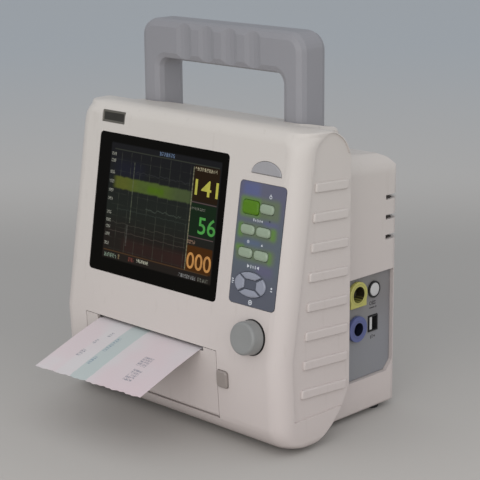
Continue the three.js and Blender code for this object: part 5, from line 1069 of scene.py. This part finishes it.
def batteryFinish():
    # shrink film over round cells, with its seam
    paint = Paint("batteryFilm")
    creases = paint.streaks(battery.creases)
    seam = paint.between(paint.along(across, middleOf("battery_pack")), *battery.seam)
    least, spread = battery.rough
    tone = paint.cover(paint.blend(creases, battery.tones), battery.seamShare * seam, battery.seamTone)
    return paint.surface(tone, least + spread * creases, paint.bump(creases, battery.depth))


def headFinish():
    # thermal head: black heat sink with a glazed print line
    paint = Paint("printHead")
    y, z = paint.around("print_head")
    glaze = paint.between(z, *head.line) * (1 - paint.rise(y, *head.front))
    tone = paint.cover(paint.cloud(head.tones, head.mottle), glaze, head.glaze)
    return paint.surface(tone, head.rough - head.shine * glaze, head.grain)


def inletFinish():
    # black appliance inlet; its three blades are bare metal
    paint = Paint("inletBlack")
    x = paint.along(across, middleOf("mains_inlet"))
    y, z = paint.around("mains_inlet")
    blades = sum(paint.panel(x, z, boxAround(*pin, inlet.half), inlet.blur) for pin in inlet.pins)
    blades = (blades * paint.rise(y, *inlet.floor)).joined("MINIMUM", 1.0)
    return paint.surface(
        paint.cover(paint.cloud(inlet.tones, inlet.mottle), blades, inlet.blade),
        paint.uneven(*inlet.uneven) - inlet.shine * blades, inlet.grain, {"Metallic": inlet.metallic * blades},
    )


paintBoards()
plainFinishes = {
    "display_panel": panelBack, "display_bracket": steel, "recorder_chassis": steel, "stepper_motor": steel,
    "encoder_body": steel, "platen_shaft": shaftSteel, "encoder_shaft": shaftSteel,
    "encoder_plunger": whitePlastic, "print_head": headFinish(), "paper_pack": packFinish(),
    "battery_pack": batteryFinish(), "loudspeaker": speakerFinish(),
}
for node, finish in plainFinishes.items():
    paintNode(node, finish)
innerEdges = Sizes(gear=Sizes(width=0.08, segments=1, angle=50), roller=0.2, stud=0.15, foot=0.4, screw=0.12)
for node in ("platen_gear", "drive_gear"):
    dressed(node, nylon, **innerEdges.gear)
dressed("platen_roller", rubber, innerEdges.roller)
dressed("mains_inlet", inletFinish(), inlet.edge)
dressed("earth_stud", brass, innerEdges.stud)
for start, finish, width in (("foot_", rubber, innerEdges.foot), ("case_screw_", steel, innerEdges.screw)):
    for node in [name for name in nodes if name.startswith(start)]:
        dressed(node, finish, width)
print("stage: inside, rear and underside")

# Floor, light and camera. Angles in degrees, lengths in metres apart from the floor's fields
cameraPlace = Sizes(
    around=44.66, above=14.56, roll=-0.53, lens=113.5, sensor=36, clip=(0.05, 50),
    eye=(0.79503, -0.77091, 0.42045),
)
floorLook = Sizes(
    radius=9, corners=64, tones=((181, 177, 173), (168, 173, 178)), fade=(1300, 2200),
    # dull and its span paint the object's soft shadow on the floor
    dull=((155, 153, 151), 0.8), dullSpan=(40, 640, 460), rough=0.8, specular=0.12,
)
lampSizes = Sizes(
    key=Sizes(around=22, above=12, away=1.9, size=1.6, power=11.5, colour=(1, 0.99, 0.97)),
    side=Sizes(around=65, above=12, away=1.9, size=1.6, power=5.5, colour=(1, 0.99, 0.98)),
    top=Sizes(around=33, above=46, away=2.1, size=1.4, power=2, colour=(1, 0.99, 0.975)),
)
lampAim = Vector((0, 0, 0.13))
skyTones = Sizes(seen=(158, 164, 171), light=(0.96, 0.98, 1, 1), strength=0.84)


def outward(sizes):
    # the direction from the object at an angle round it and an angle above the floor
    turn, rise = math.radians(sizes.around), math.radians(sizes.above)
    return Vector((math.sin(turn) * math.cos(rise), -math.cos(turn) * math.cos(rise), math.sin(rise)))


def floorFinish():
    paint = Paint("paleFloor")
    distance = paint.radius(paint.along(across), paint.along(rearward))
    tone = paint.blend(paint.rise(distance, *floorLook.fade), floorLook.tones)
    ahead = -outward(cameraPlace)
    depth = paint.along(Vector((ahead.x, ahead.y, 0)).normalized())
    # painted shadow: a wide darker band on the floor behind the object, away from the camera, for its soft shadow
    tone = paint.cover(tone, paint.between(depth, *floorLook.dullSpan), *floorLook.dull)
    return paint.surface(tone, floorLook.rough, None, {"Specular IOR Level": floorLook.specular})


def addFloor():
    shape = bmesh.new()
    bmesh.ops.create_circle(shape, cap_ends=True, segments=floorLook.corners, radius=floorLook.radius)
    floor = addedShape("floor", shape, floorFinish())


def addLamp(name, sizes):
    light = bpy.data.lights.new(name, "AREA")
    light.shape = "DISK"
    light.size = sizes.size
    light.energy = sizes.power
    light.color = sizes.colour
    lamp = added(name, light)
    away = outward(sizes)
    lamp.location = lampAim + away * sizes.away
    lamp.rotation_euler = (-away).to_track_quat("-Z", "Y").to_euler()
    lamp.visible_camera = False


def addSky():
    # even room light; the camera and reflections see a dimmer wall
    room = Paint("room", bpy.data.worlds)
    lights = ((skyTones.light, skyTones.strength), (ink(*skyTones.seen), 1))
    even, wall = [room.node("Background", {}, {"Color": tone, "Strength": power}) for tone, power in lights]
    rays = ("Is Camera Ray", "Is Glossy Ray", "Is Transmission Ray")
    seen, glossy, through = [room.node("LightPath", {}, {}, ray) for ray in rays]
    share = seen.joined("MAXIMUM", glossy).joined("MAXIMUM", through)
    chosen = room.node("MixShader", {}, {0: share, 1: even, 2: wall})
    bpy.context.scene.world = room.finished(chosen, "World")


def addCamera():
    turn, roll = math.radians(cameraPlace.around), math.radians(cameraPlace.roll)
    back, right = outward(cameraPlace), Vector((math.cos(turn), math.sin(turn), 0))
    rolled = math.cos(roll) * right + math.sin(roll) * back.cross(right)
    optics = bpy.data.cameras.new("camera")
    optics.lens = cameraPlace.lens
    optics.sensor_width = cameraPlace.sensor
    optics.clip_start, optics.clip_end = cameraPlace.clip
    camera = added("camera", optics)
    camera.matrix_world = frameAt(Vector(cameraPlace.eye), rolled, back.cross(rolled))
    bpy.context.scene.camera = camera


addFloor()
for name, sizes in lampSizes.items():
    addLamp(name, sizes)
addSky()
addCamera()
bpy.context.scene.view_settings.view_transform = "Standard"

print("stage: done")
